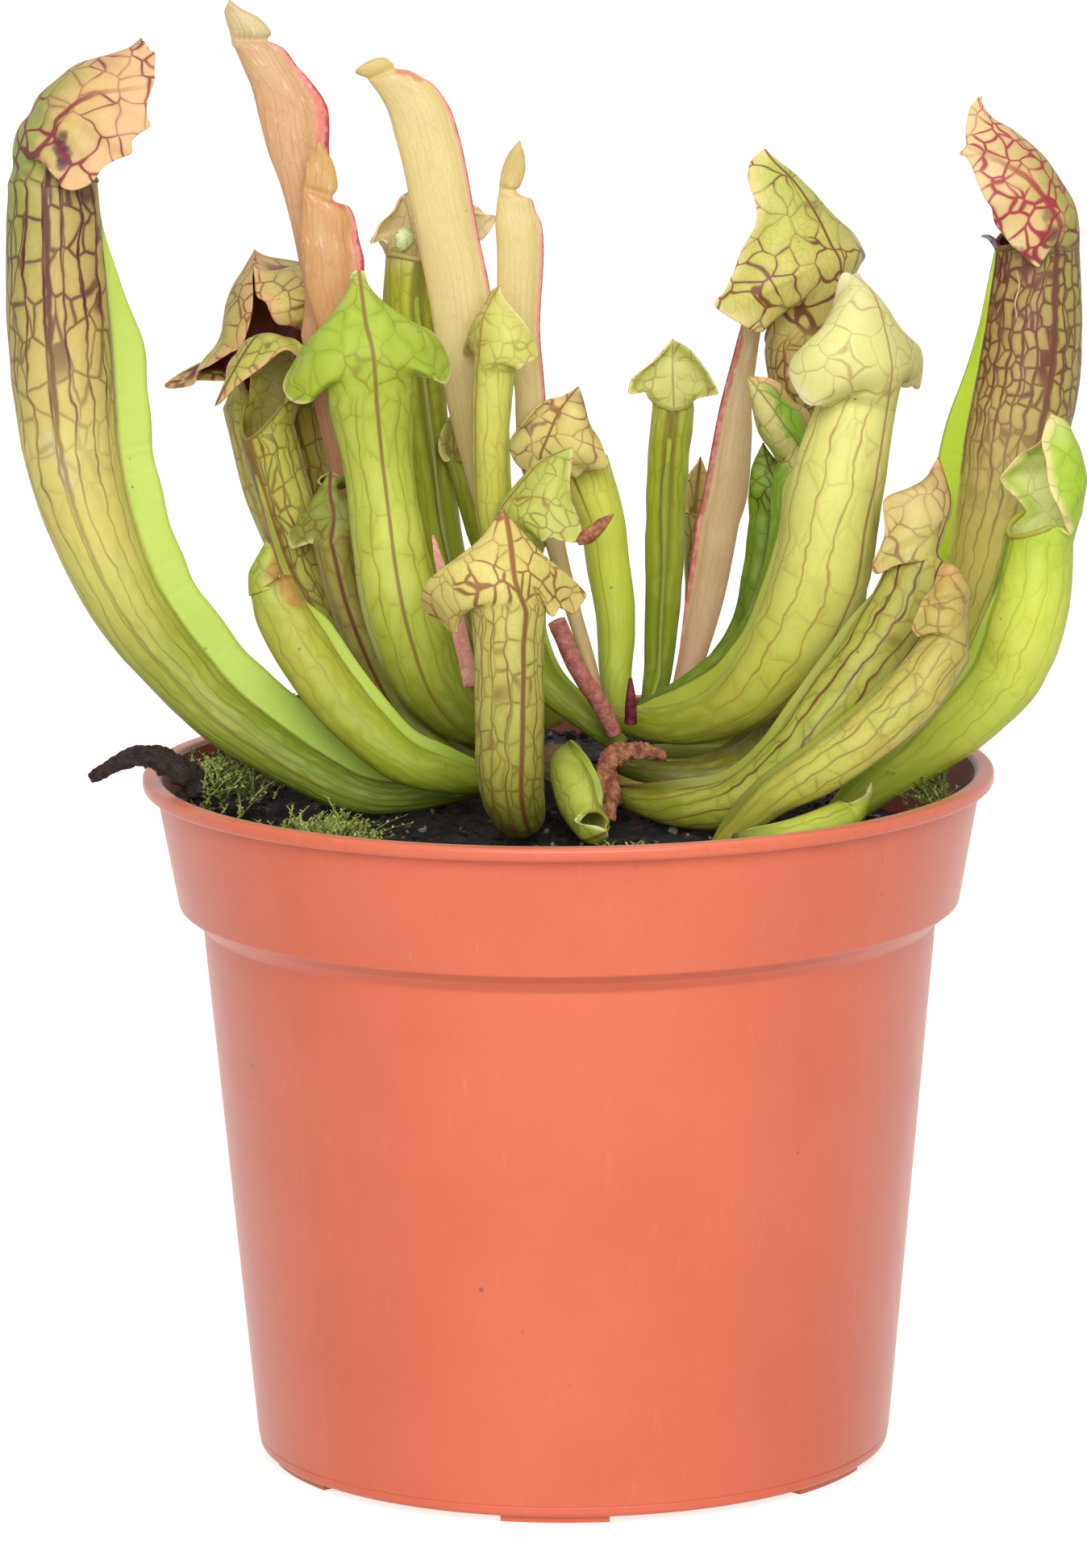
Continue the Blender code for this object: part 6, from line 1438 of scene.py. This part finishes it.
def build_pitcher(node, spec, materials):
    """A hollow leaf: closed wall with a wing on its front, open mouth, and a hood over it."""
    leaf = Leaf(node, spec)
    leaf.set_skin()
    leaf.raise_wing()
    leaf.set_inner()
    leaf.set_places()
    tip = np.array([spec["tip"]], float)
    points = np.concatenate([leaf.outer.reshape(-1, 3), leaf.inner.reshape(-1, 3), tip])
    places = np.concatenate([leaf.places.reshape(-1, 3), leaf.places[leaf.cavity:].reshape(-1, 3),
                             [[0.0, leaf.run[-1], 2.0]]])
    lip_points, lip_faces, lip_places, lip_kinds = leaf.lip(len(points))
    piece = add_piece(node + "_leaf", np.concatenate([points, lip_points]), leaf.faces() + lip_faces,
                      materials[spec["style"]], SLOTS[spec["style"]], [node])
    add_vectors(piece, "leaf_place", np.concatenate([places, lip_places]))
    add_vectors(piece, "leaf_kind", np.concatenate([leaf.kinds(), lip_kinds]))


# The name of a material slot for each style, handed on to add_piece with its piece
SLOTS = {
    "maroon_net": "leaf_olive", "crimson_net": "leaf_rust", "dark_throat": "leaf_olive",
    "green_net": "leaf_green", "pale_green": "leaf_lime", "cream_hood": "leaf_lime",
    "yellow_green": "leaf_lime", "rust_net": "leaf_rust", "tan_hood": "leaf_olive",
    "olive_rib": "leaf_olive", "low_green": "leaf_green", "peach_green": "leaf_green",
    "pale_hood": "leaf_lime", "peach_hood": "leaf_lime", "tan_low": "leaf_olive", "far_green": "leaf_green",
    "coral_lip": "leaf_olive", "leaf_hood": "leaf_green", "dark_small": "leaf_green",
}


def young_edges(spec):
    """The blade's left and right edges from its base to its tip, and the row where its lid starts."""
    steps = even_steps(spec["spine"], YOUNG_ROWS)
    centre, half, tangent, front, side = frames_at(spec["spine"], steps, -90)
    pairs = np.array(spec["pairs"])
    low = centre[:, 2] < min(pairs[0, 1], pairs[0, 3]) - 4.0
    tip = np.array(spec["tip"], float)
    edges = []
    upward = np.linspace(0.0, 0.998, YOUNG_BLADE_ROWS)
    for way, x, z in ((-1, 0, 1), (1, 2, 3)):
        edge = centre + side * (way * half)[:, None]
        above = np.stack([pairs[:, x], np.full(len(pairs), tip[1]), pairs[:, z]], axis=-1)
        path = np.concatenate([edge[low][-1:], above, tip[None, :]])
        edges.append(np.concatenate([edge[low][:-1], curve_at(path, upward)]))
    lid_row = low.sum() - 1 + YOUNG_BLADE_ROWS * (spec["lid"] + 1) / (len(pairs) + 1)
    return edges[0], edges[1], int(lid_row)


def young_wing(spec, share, half, lid_at, across):
    """How full the wing is at each row, where the thick body ends, and how far out on the wing a point is."""
    full = smoothstep(spec["wing_from"] - 0.25, spec["wing_from"] + 0.1, share)
    full = full * (1.0 - 0.55 * smoothstep(lid_at - 0.09, lid_at - 0.03, share))
    full = full * (1.0 - smoothstep(lid_at - 0.01, lid_at, share))
    body_end = 1.0 - np.minimum(full * spec["wing"] / np.maximum(half, 0.5), 1.2)[:, None]
    outward = across * spec["wing_side"]
    out = np.clip((outward - body_end) / np.maximum(1.0 - body_end, 0.02), 0.0, 1.0)
    return body_end, out * smoothstep(0.0, 0.25, full)[:, None]


def build_young(node, spec, materials):
    """A flat closed blade with a coloured wing on one side and a pointed lid."""
    left, right, lid_row = young_edges(spec)
    rows, sides = len(left), YOUNG_SIDES
    centre = (left + right) * 0.5
    half = np.maximum(np.linalg.norm(right - left, axis=1) * 0.5, 0.05)
    side = unit(right - left)
    toward = np.array([0.0, -1.0, 0.0])
    front = unit(toward - side * (side @ toward)[:, None])
    run = run_of(centre)
    share = run / run[-1]
    lid_at = share[lid_row]
    turn = circle(sides)
    across, sine = np.cos(turn)[None, :], np.sin(turn)[None, :]
    body_end, fin_place = young_wing(spec, share, half, lid_at, across)
    outward = across * spec["wing_side"]
    body = np.clip(1.0 - (np.maximum(outward, 0.0) / np.maximum(body_end, 0.05)) ** 2, 0.0, 1.0) ** 0.5
    body = np.where(outward > 0, body, np.abs(sine))
    crease = 1.0 - CREASE_DEPTH * np.exp(-((share - lid_at) / CREASE_LENGTH) ** 2)
    thick = np.maximum(np.minimum(YOUNG_LEAST, half), half * YOUNG_FLATNESS)[:, None]
    thick = thick * body * crease[:, None]
    thick = np.maximum(thick, np.minimum(0.2, half)[:, None] * np.abs(sine) ** 0.5)
    points = (centre[:, None, :] + lay(side, half[:, None] * across)
              + lay(front, thick * np.sign(np.round(sine, 6))))
    wobble = value_noise(run[:, None] + 0 * across, turn[None, :] * 3 + 0 * run[:, None], 4.0, 7)
    points += lay(front, 0.12 * wobble)
    places = np.stack([half[:, None] * across + 20.0, run[:, None] + 0 * across,
                       share[:, None] + 0 * across], axis=-1)
    kinds = np.zeros((rows, sides, 3))
    kinds[:, :, 0] = smoothstep(lid_at - 0.004, lid_at + 0.004, share)[:, None]
    kinds[:, :, 1] = fin_place
    piece = add_piece(node + "_leaf", points.reshape(-1, 3), closed_tube(rows, sides),
                      materials[spec["style"]], "leaf_tan", [node])
    add_vectors(piece, "leaf_place", places.reshape(-1, 3))
    add_vectors(piece, "leaf_kind", kinds.reshape(-1, 3))


def rod_mesh(spine, rows, sides, rough=0.0, seed=0, flatness=1.0, azimuth=-60, cell=1.5):
    """Points and faces of an uneven rod, flattened where asked."""
    centre, radius, tangent, front, side = frames_at(spine, even_steps(spine, rows), azimuth)
    turn = circle(sides)
    down, round_it = run_of(centre)[:, None] + 0 * turn, turn[None, :] + 0 * radius[:, None]
    uneven = 1.0 + rough * value_noise(down, round_it * 2.0, cell, seed)
    uneven += 0.5 * rough * value_noise(down, round_it * 4.0, cell * 0.4, seed + 1)
    points = (centre[:, None, :] + lay(side, radius[:, None] * np.cos(turn)[None, :] * uneven)
              + lay(front, radius[:, None] * np.sin(turn)[None, :] * uneven * flatness))
    return points.reshape(-1, 3), closed_tube(rows + 1, sides)


# Rods that stand for a node: node, slot, points, (rows, sides, unevenness, seed), how else they are made,
# and the colours, grain, roughness and bump of their skins
RODS = {
    "flower_stalk_skin": ("flower_stalk", "stalk_skin", STALK, (60, 32, 0.05, 3), dict(cell=2.0),
                          ("#A85A50", "#CC8474", "#8E4A44", 0.9, 0.5)),
    "new_bud_skin": ("new_bud", "bud_skin", BUD, (40, 24, 0.06, 4), {},
                     ("#4A0C1E", "#8A2234", "#2E0612", 0.8, 0.4)),
    "bark_piece_skin": ("bark_piece", "bark", BARK, (90, 36, 0.30, 5), dict(cell=1.1),
                        ("#1C1412", "#3E302A", "#5A463A", 0.9, 0.85, 0.5)),
    "dead_leaf_skin": ("dead_leaf", "dead_leaf_skin", DEAD_LEAF, (90, 36, 0.32, 6),
                       dict(flatness=0.5, cell=0.9), ("#6E3320", "#C08058", "#4E2216", 0.6, 0.6, 0.3)),
    "rhizome_skin": ("rhizome", "rhizome_skin", RHIZOME, (60, 48, 0.10, 8), dict(azimuth=-90, cell=2.2),
                     ("#5A4A24", "#8E6A44", "#7A3A34", 0.5, 0.8, 0.4)),
}


def build_rods():
    """Flower stalk, bud, bark, dead leaf and rhizome."""
    for name, (node, slot, spine, rod, shape, skin) in RODS.items():
        points, faces = rod_mesh(spine, *rod, **shape)
        add_piece(name, points, faces, skin_material(slot, *skin), slot, [node])


# Small details: points (x, y, z, radius), how flat, colours, slot
DETAILS = {
    "mouth_bump": ([(-22.5, 17.6, 169.4, 0.5), (-22.5, 17.1, 170.2, 1.35), (-22.5, 16.9, 171.0, 1.55),
                    (-22.5, 17.1, 171.8, 1.3), (-22.5, 17.6, 172.5, 0.5)], 0.7,
                   ("#C2D48A", "#DCE4A8", "#8A6A40"), "leaf_lime"),
    "wing_band": ([(-18.5, -14.0, 133.5, 0.2), (-17.5, -16.0, 129.5, 0.8), (-16.0, -18.0, 125.0, 1.1),
                   (-14.5, -20.0, 119.0, 1.2), (-13.5, -22.0, 113.5, 1.0)], 0.35,
                  ("#D08878", "#E0A890", "#B05A50"), "leaf_tan"),
    "lip_spike": ([(62.0, 4.6, 169.0, 0.6), (60.4, 4.3, 171.2, 0.55), (59.4, 4.0, 172.2, 0.35),
                   (58.4, 4.0, 172.3, 0.12)], 0.8, ("#6A4A5A", "#A89AA8", "#4A2A3A"), "leaf_rust"),
    "hood_spout": ([(1.5, -9.0, 131.5, 0.5), (2.8, -9.0, 132.3, 1.1), (4.0, -9.0, 133.2, 1.0),
                    (5.3, -9.0, 134.4, 0.7), (6.6, -9.0, 135.5, 0.1)], 0.45,
                   ("#7A3E22", "#B87C4C", "#5A2A1A"), "leaf_rust"),
    "tube_thread": ([(63.2, -1.4, 161.0, 0.08), (62.8, -1.9, 163.5, 0.12), (63.4, -1.7, 166.0, 0.12),
                     (63.0, -1.5, 168.0, 0.06)], 1.0, ("#C8A070", "#E0C090", "#A07850"), "leaf_tan"),
}


def build_details():
    """A bump in a mouth, a reddish band, a spike on a lip, a dried spout and a dry thread."""
    for number, (name, (spine, flatness, shades, slot)) in enumerate(DETAILS.items()):
        skin = skin_material(name + "_skin", *shades, 0.9, 0.5)
        points, faces = rod_mesh(spine, 40, 24, 0.08, 30 + number, flatness=flatness)
        add_piece(name, points, faces, skin, slot)


def peat_under(x, y):
    """Height of the peat's surface at one place."""
    return float(soil_surface(np.array(x), np.array(y)))


def held_in(x, y, reach):
    """The place itself, or the nearest one no further than reach from the pot's axis."""
    away = max(1.0, math.hypot(x, y) / reach)
    return x / away, y / away


def build_fibres():
    """Thin reddish-brown root fibres lying on the peat in front."""
    draw = np.random.default_rng(17)
    parts = []
    for number in range(FIBRE_COUNT):
        x, y = [draw.uniform(*reach) for reach in FIBRE_FIELD]
        turn, length = draw.uniform(-0.6, 0.6), draw.uniform(3.0, 9.0)
        path = []
        for step in np.linspace(-0.5, 0.5, 5):
            here = held_in(x + math.cos(turn) * length * step,
                           y + math.sin(turn) * length * step + draw.normal(0, 0.4), FIBRE_REACH)
            path.append((*here, peat_under(*here) + 0.25, 0.13))
        parts.append(rod_mesh(path, 20, 8, 0.15, number, azimuth=90))
    skin = skin_material("fibre_skin", "#6A2E1E", "#A8603C", "#4A2016", 0.8, 0.6)
    add_piece("root_fibres", *joined(parts), skin, "dead_leaf_skin")


# Pot

def arc(centre, radius, start, end, count):
    """Points (radius, height) on a round corner, with angles in degrees."""
    angles = np.radians(np.linspace(start, end, count))
    return [(centre[0] + radius * math.cos(a), centre[1] + radius * math.sin(a)) for a in angles]


def pot_profile():
    """Half section from the middle of the floor up the inside and down the outside."""
    base = FOOT_HEIGHT
    floor = base + FLOOR_THICKNESS
    step_bottom = COLLAR_BOTTOM - STEP_HEIGHT
    inside = [(BOSS_RADIUS, floor), (23.0, floor), (BASE_RADIUS - WALL - 1.0, floor)]
    inside += arc((BASE_RADIUS - WALL - 1.0, floor + 1.0), 1.0, -80, 0, 5)
    inside += [(BODY_TOP_RADIUS - WALL - 0.1, step_bottom - 1.0), (BODY_TOP_RADIUS - WALL, step_bottom + 0.5),
               (COLLAR_LOW_RADIUS - WALL - 0.3, COLLAR_BOTTOM + 0.4),
               (COLLAR_LOW_RADIUS - WALL, COLLAR_BOTTOM + 0.9), (COLLAR_TOP_RADIUS - WALL, POT_HEIGHT - 2.6)]
    inside += [(RIM_RADIUS - 2.7, POT_HEIGHT - 0.6)]
    inside += arc((RIM_RADIUS - 2.0, POT_HEIGHT - 0.6), 0.6, 170, 95, 5)
    outside = arc((RIM_RADIUS - 0.6, POT_HEIGHT - 0.6), 0.6, 85, 0, 6)
    outside += arc((RIM_RADIUS - 0.6, POT_HEIGHT - 1.3), 0.6, 0, -80, 5)
    outside += arc((COLLAR_TOP_RADIUS + 0.4, POT_HEIGHT - 2.3), 0.4, 90, 180, 4)
    outside += [(COLLAR_TOP_RADIUS - 0.15, POT_HEIGHT - 3.5), (COLLAR_LOW_RADIUS + 0.06, COLLAR_BOTTOM + 0.8)]
    outside += arc((COLLAR_LOW_RADIUS - 0.6, COLLAR_BOTTOM + 0.5), 0.6, 0, -60, 5)
    outside += [(BODY_TOP_RADIUS + 0.9, step_bottom + 1.0)]
    outside += arc((BODY_TOP_RADIUS + 0.5, step_bottom - 0.2), 0.55, 120, 185, 4)
    outside += [(BODY_TOP_RADIUS - 0.25, step_bottom - 3.0), (BASE_RADIUS + 0.1, base + 1.7),
                (BASE_RADIUS - 0.12, base + 1.55), (BASE_RADIUS - 0.02, base + 1.4),
                (BASE_RADIUS - 0.1, base + 0.7)]
    outside += arc((BASE_RADIUS - 0.8, base + 0.7), 0.7, -5, -85, 5)
    outside += [(FOOT_RADII[1], base), (FOOT_RADII[0], base), (23.0, base), (BOSS_RADIUS, base)]
    return inside + outside


def ring_block(inner, outer, low, high, start, end, count=12):
    """Points and faces of a closed block that follows an arc of the base."""
    points = []
    for a in np.radians(np.linspace(start, end, count)):
        for radius, height in ((inner, low), (outer, low), (outer, high), (inner, high)):
            points.append((radius * math.cos(a), radius * math.sin(a), height))
    return points, closed_tube(count, 4)


def drain_cutter():
    cutter_mesh = bmesh.new()
    for hole in range(DRAIN_COUNT):
        turn = 2 * math.pi * (hole + 0.5) / DRAIN_COUNT + math.radians(3.0)
        spot = Vector((DRAIN_CIRCLE * math.cos(turn), DRAIN_CIRCLE * math.sin(turn), 2.0)) * MM
        bmesh.ops.create_cone(cutter_mesh, segments=32, radius1=DRAIN_RADIUS * MM, cap_ends=True,
                              radius2=DRAIN_RADIUS * MM, depth=8 * MM, matrix=Matrix.Translation(spot))
    mesh = bpy.data.meshes.new("drain_cutter")
    cutter_mesh.to_mesh(mesh)
    cutter_mesh.free()
    cutter = bpy.data.objects.new("drain_cutter", mesh)
    bpy.context.scene.collection.objects.link(cutter)
    return cutter


def build_shell(material):
    """The turned pot with its drain holes and centre boss."""
    profile = pot_profile()
    rings = np.array([[(r * math.cos(a), r * math.sin(a), h) for a in circle(POT_SEGMENTS)]
                      for r, h in profile])
    pot = add_piece("pot_shell", rings.reshape(-1, 3), closed_tube(len(profile), POT_SEGMENTS), material,
                    "terracotta_plastic", ["pot"])
    cutter = drain_cutter()
    cut = pot.modifiers.new("drains", "BOOLEAN")
    cut.operation = "DIFFERENCE"
    cut.object = cutter
    cut.solver = "EXACT"
    bpy.context.view_layer.update()
    baked = bpy.data.meshes.new_from_object(pot.evaluated_get(bpy.context.evaluated_depsgraph_get()))
    pot.modifiers.clear()
    pot.data = baked
    bpy.data.objects.remove(cutter, do_unlink=True)
    pot.data.shade_smooth()
    pot.data.set_sharp_from_angle(angle=math.radians(35))


def build_feet(material):
    """Short feet under the rim of the base."""
    feet = []
    for foot in range(FOOT_COUNT):
        middle = FOOT_TURN + 360.0 / FOOT_COUNT * foot
        feet.append(ring_block(*FOOT_RADII, 0.0, FOOT_HEIGHT + 0.05, middle - FOOT_SPAN / 2,
                               middle + FOOT_SPAN / 2))
    add_piece("pot_feet", *joined(feet), material, "terracotta_plastic", smooth=False)


# Soil and moss

def soil_height(x, y):
    mound = (x - MOUND_CENTRE[0]) ** 2 + (y - MOUND_CENTRE[1]) ** 2
    crown = (x - CROWN_CENTRE[0]) ** 2 + (y - CROWN_CENTRE[1]) ** 2
    height = SOIL_LEVEL + MOUND_RISE * np.exp(-mound / (2 * MOUND_SPREAD ** 2))
    height = height + CROWN_RISE * np.exp(-crown / (2 * CROWN_SPREAD ** 2))
    return height - SUNK_SIDE * smoothstep(SUNK_FROM_X, SUNK_TO_X, x)


def soil_surface(x, y):
    """Height of the rough peat."""
    rough = 0.9 * value_noise(x + 90, y + 90, 5.0, 21) + 0.6 * value_noise(x + 90, y + 90, 2.2, 22)
    rough = rough + 0.35 * value_noise(x + 90, y + 90, 0.9, 23)
    return np.minimum(soil_height(x, y) + 0.9 * rough, soil_height(x, y) + 1.4)


def build_soil():
    """The peat's rough surface with its side and underside, and the crumbs on it."""
    radii = np.linspace(3.0, SOIL_RADIUS, SOIL_RINGS)
    turn = circle(SOIL_SEGMENTS)
    x, y = radii[:, None] * np.cos(turn), radii[:, None] * np.sin(turn)
    top = np.stack([x, y, soil_surface(x, y)], axis=-1)
    lower = [np.stack([radius * np.cos(turn), radius * np.sin(turn), np.full(len(turn), height)], -1)
             for radius, height in SOIL_SIDE]
    points = np.concatenate([top.reshape(-1, 3), np.array(lower).reshape(-1, 3)])
    peat = soil_material("peat", "#080608", "#1E1614", 0.975)
    add_piece("soil_surface", points, closed_tube(len(radii) + len(lower), len(turn)), peat, "peat",
              ["potting_soil"])
    crumbs = soil_material("peat_crumbs", "#120E0E", "#3A2A22", 0.93)
    add_piece("soil_crumbs", *crumb_mesh(), crumbs, "peat", smooth=False)


def crumb_mesh():
    """Small uneven lumps scattered over the peat."""
    draw = np.random.default_rng(5)
    ball = bmesh.new()
    bmesh.ops.create_icosphere(ball, subdivisions=1, radius=1.0)
    corners = np.array([v.co[:] for v in ball.verts])
    ball_faces = [[v.index for v in f.verts] for f in ball.faces]
    ball.free()
    parts = []
    for number in range(CRUMB_COUNT):
        radius = CRUMB_REACH * math.sqrt(draw.uniform(0.02, 1.0))
        angle = draw.uniform(0, 2 * math.pi)
        x, y = radius * math.cos(angle), radius * math.sin(angle)
        size = draw.uniform(0.25, 0.8) * (1.8 if draw.uniform() < 0.08 else 1.0)
        shape = corners * draw.uniform(0.5, 1.2, 3) * draw.uniform(0.8, 1.2, (len(corners), 1))
        spin = Matrix.Rotation(draw.uniform(0, 6.28), 3, Vector(draw.normal(size=3)).normalized())
        lump = shape @ np.array(spin).T * size + (x, y, peat_under(x, y) + size * 0.3)
        parts.append((lump, ball_faces))
    return joined(parts)


def strand(draw, start, lean, length, thickness):
    """A thin moss stem with small leaflets, as points and faces."""
    rows, sides = 7, 4
    t = np.linspace(0.0, 1.0, rows)
    direction = np.array([lean[0], lean[1], 1.0])
    direction = direction / np.linalg.norm(direction)
    bend = np.array([draw.normal(0, 0.5), draw.normal(0, 0.5), -0.25])
    stem = start + direction * (t * length)[:, None] + bend * (t ** 2 * length * 0.6)[:, None]
    turn = circle(sides)
    ring = np.stack([np.cos(turn), np.sin(turn), 0 * turn], -1)
    size = thickness * (1.0 - 0.6 * t)
    points = [(stem[:, None, :] + ring[None, :, :] * size[:, None, None]).reshape(-1, 3)]
    faces = closed_tube(rows, sides)
    leaves = int(length * MOSS_LEAFLETS)
    for k in range(leaves):
        place = (k + 0.8) / leaves
        here = np.array([np.interp(place, t, stem[:, axis]) for axis in range(3)])
        angle = k * 2.4 + draw.uniform(-0.4, 0.4)
        out = np.array([math.cos(angle), math.sin(angle), 0.55])
        wide = np.array([-math.sin(angle), math.cos(angle), 0.0])
        out = out * (draw.uniform(0.5, 0.9) * (1.15 - 0.5 * place))
        first = rows * sides + 5 * k
        points.append(here + np.array([-wide * 0.13, wide * 0.13, out * 0.6 + wide * 0.16, out,
                                       out * 0.6 - wide * 0.16]))
        faces.append(tuple(first + i for i in range(5)))
    return np.concatenate(points), faces


def moss_strand(draw, centre, spread, length, rise):
    """One stem of a clump; near the pot's wall it leans inward."""
    x = centre[0] + draw.normal(0, spread * 0.55)
    y = centre[1] + draw.normal(0, spread * 0.45)
    x, y = held_in(x, y, MOSS_REACH)
    inward = 0.9 * smoothstep(MOSS_LEANS_FROM, MOSS_REACH, math.hypot(x, y)) / math.hypot(x, y)
    lean = (draw.normal(0, 0.5) - inward * x, draw.normal(-0.1, 0.5) - inward * y)
    start = np.array([x, y, peat_under(x, y) - 0.4 + rise * math.sqrt(draw.uniform(0.0, 1.0))])
    return strand(draw, start, lean, length * draw.uniform(0.5, 1.2), MOSS_STEM)


def build_moss():
    """The clumps of moss, each one piece of many stems."""
    material = moss_material()
    draw = np.random.default_rng(11)
    for name, (centre, spread, count, length, rise) in MOSS.items():
        stems = [moss_strand(draw, centre, spread, length, rise) for number in range(count)]
        add_piece(name, *joined(stems), material, "leaf_green", smooth=False, turn_out=False)


# Stage

def link_new(name, data):
    """A new object in the scene."""
    made = bpy.data.objects.new(name, data)
    bpy.context.scene.collection.objects.link(made)
    return made


def build_stage():
    """Pale floor that shows as white, with a faint shadow."""
    mesh = bpy.data.meshes.new("floor")
    half = FLOOR_HALF
    corners = [(-half, -half, 0), (half, -half, 0), (half, half, 0), (-half, half, 0)]
    mesh.from_pydata(corners, [], [(0, 1, 2, 3)])
    floor = link_new("floor", mesh)
    g = Graph("floor")
    g.finish("#BCBCBC", 0.5, 0.2)
    g.put(g.shader.inputs["Emission Color"], "#FFF8F3")
    unlit = g.step(g.node("ShaderNodeLightPath", {}, out="Is Diffuse Ray"), 1.0, 0.0)
    g.put(g.shader.inputs["Emission Strength"], unlit * FLOOR_GLOW)
    mesh.materials.append(g.material)


def add_area(name, place, target, size, watts):
    light = bpy.data.lights.new(name, "AREA")
    light.shape = "RECTANGLE"
    light.size, light.size_y = size
    light.energy = watts
    made = link_new(name, light)
    made.location = place
    made.rotation_euler = (Vector(target) - Vector(place)).to_track_quat("-Z", "Y").to_euler()


def build_lights():
    """One very large soft light in front, a weak one above, and a white room that lights little."""
    world = bpy.data.worlds.new("studio")
    bpy.context.scene.world = world
    world.use_nodes = True
    tree = world.node_tree
    back = tree.nodes["Background"]
    back.inputs["Color"].default_value = (1.0, 1.0, 1.0, 1.0)
    ray = tree.nodes.new("ShaderNodeLightPath")
    dim = tree.nodes.new("ShaderNodeMapRange")
    tree.links.new(ray.outputs["Is Diffuse Ray"], dim.inputs["Value"])
    dim.inputs["To Min"].default_value = 1.0
    dim.inputs["To Max"].default_value = ROOM_LIGHT
    tree.links.new(dim.outputs["Result"], back.inputs["Strength"])
    for name, (place, size, watts) in LIGHTS.items():
        add_area(name, place, (0.0, 0.0, 0.1), size, watts)


def build_camera():
    """The camera at the photo's place and angle."""
    camera = link_new("camera", bpy.data.cameras.new("camera"))
    bpy.context.scene.camera = camera
    p, r = CAMERA_PITCH, CAMERA_ROLL
    forward = Vector((0.0, math.cos(p), -math.sin(p)))
    level_up = Vector((0.0, math.sin(p), math.cos(p)))
    level_right = Vector((1.0, 0.0, 0.0))
    right = level_right * math.cos(r) - level_up * math.sin(r)
    up = level_right * math.sin(r) + level_up * math.cos(r)
    turn = Matrix((right, up, -forward)).transposed().to_4x4()
    camera.matrix_world = Matrix.Translation(Vector(CAMERA_PLACE) * MM) @ turn
    camera.data.sensor_fit = "AUTO"
    camera.data.sensor_width = SENSOR
    camera.data.lens = SENSOR * CAMERA_FOCAL / PHOTO_HEIGHT
    camera.data.clip_start = 0.01
    camera.data.clip_end = 50.0


def main():
    build_camera()
    build_stage()
    build_lights()
    bpy.context.scene.view_settings.view_transform = "Standard"
    leaf_materials = {name: leaf_material(name) for name in STYLES}
    leaf_materials.update({name: young_material(name) for name in YOUNG_STYLES})
    plastic = pot_material()
    build_shell(plastic)
    build_feet(plastic)
    build_soil()
    build_moss()
    build_rods()
    build_details()
    build_fibres()
    for node, spec in PITCHERS.items():
        build_pitcher(node, spec, leaf_materials)
    for node, spec in YOUNG.items():
        build_young(node, spec, leaf_materials)


main()
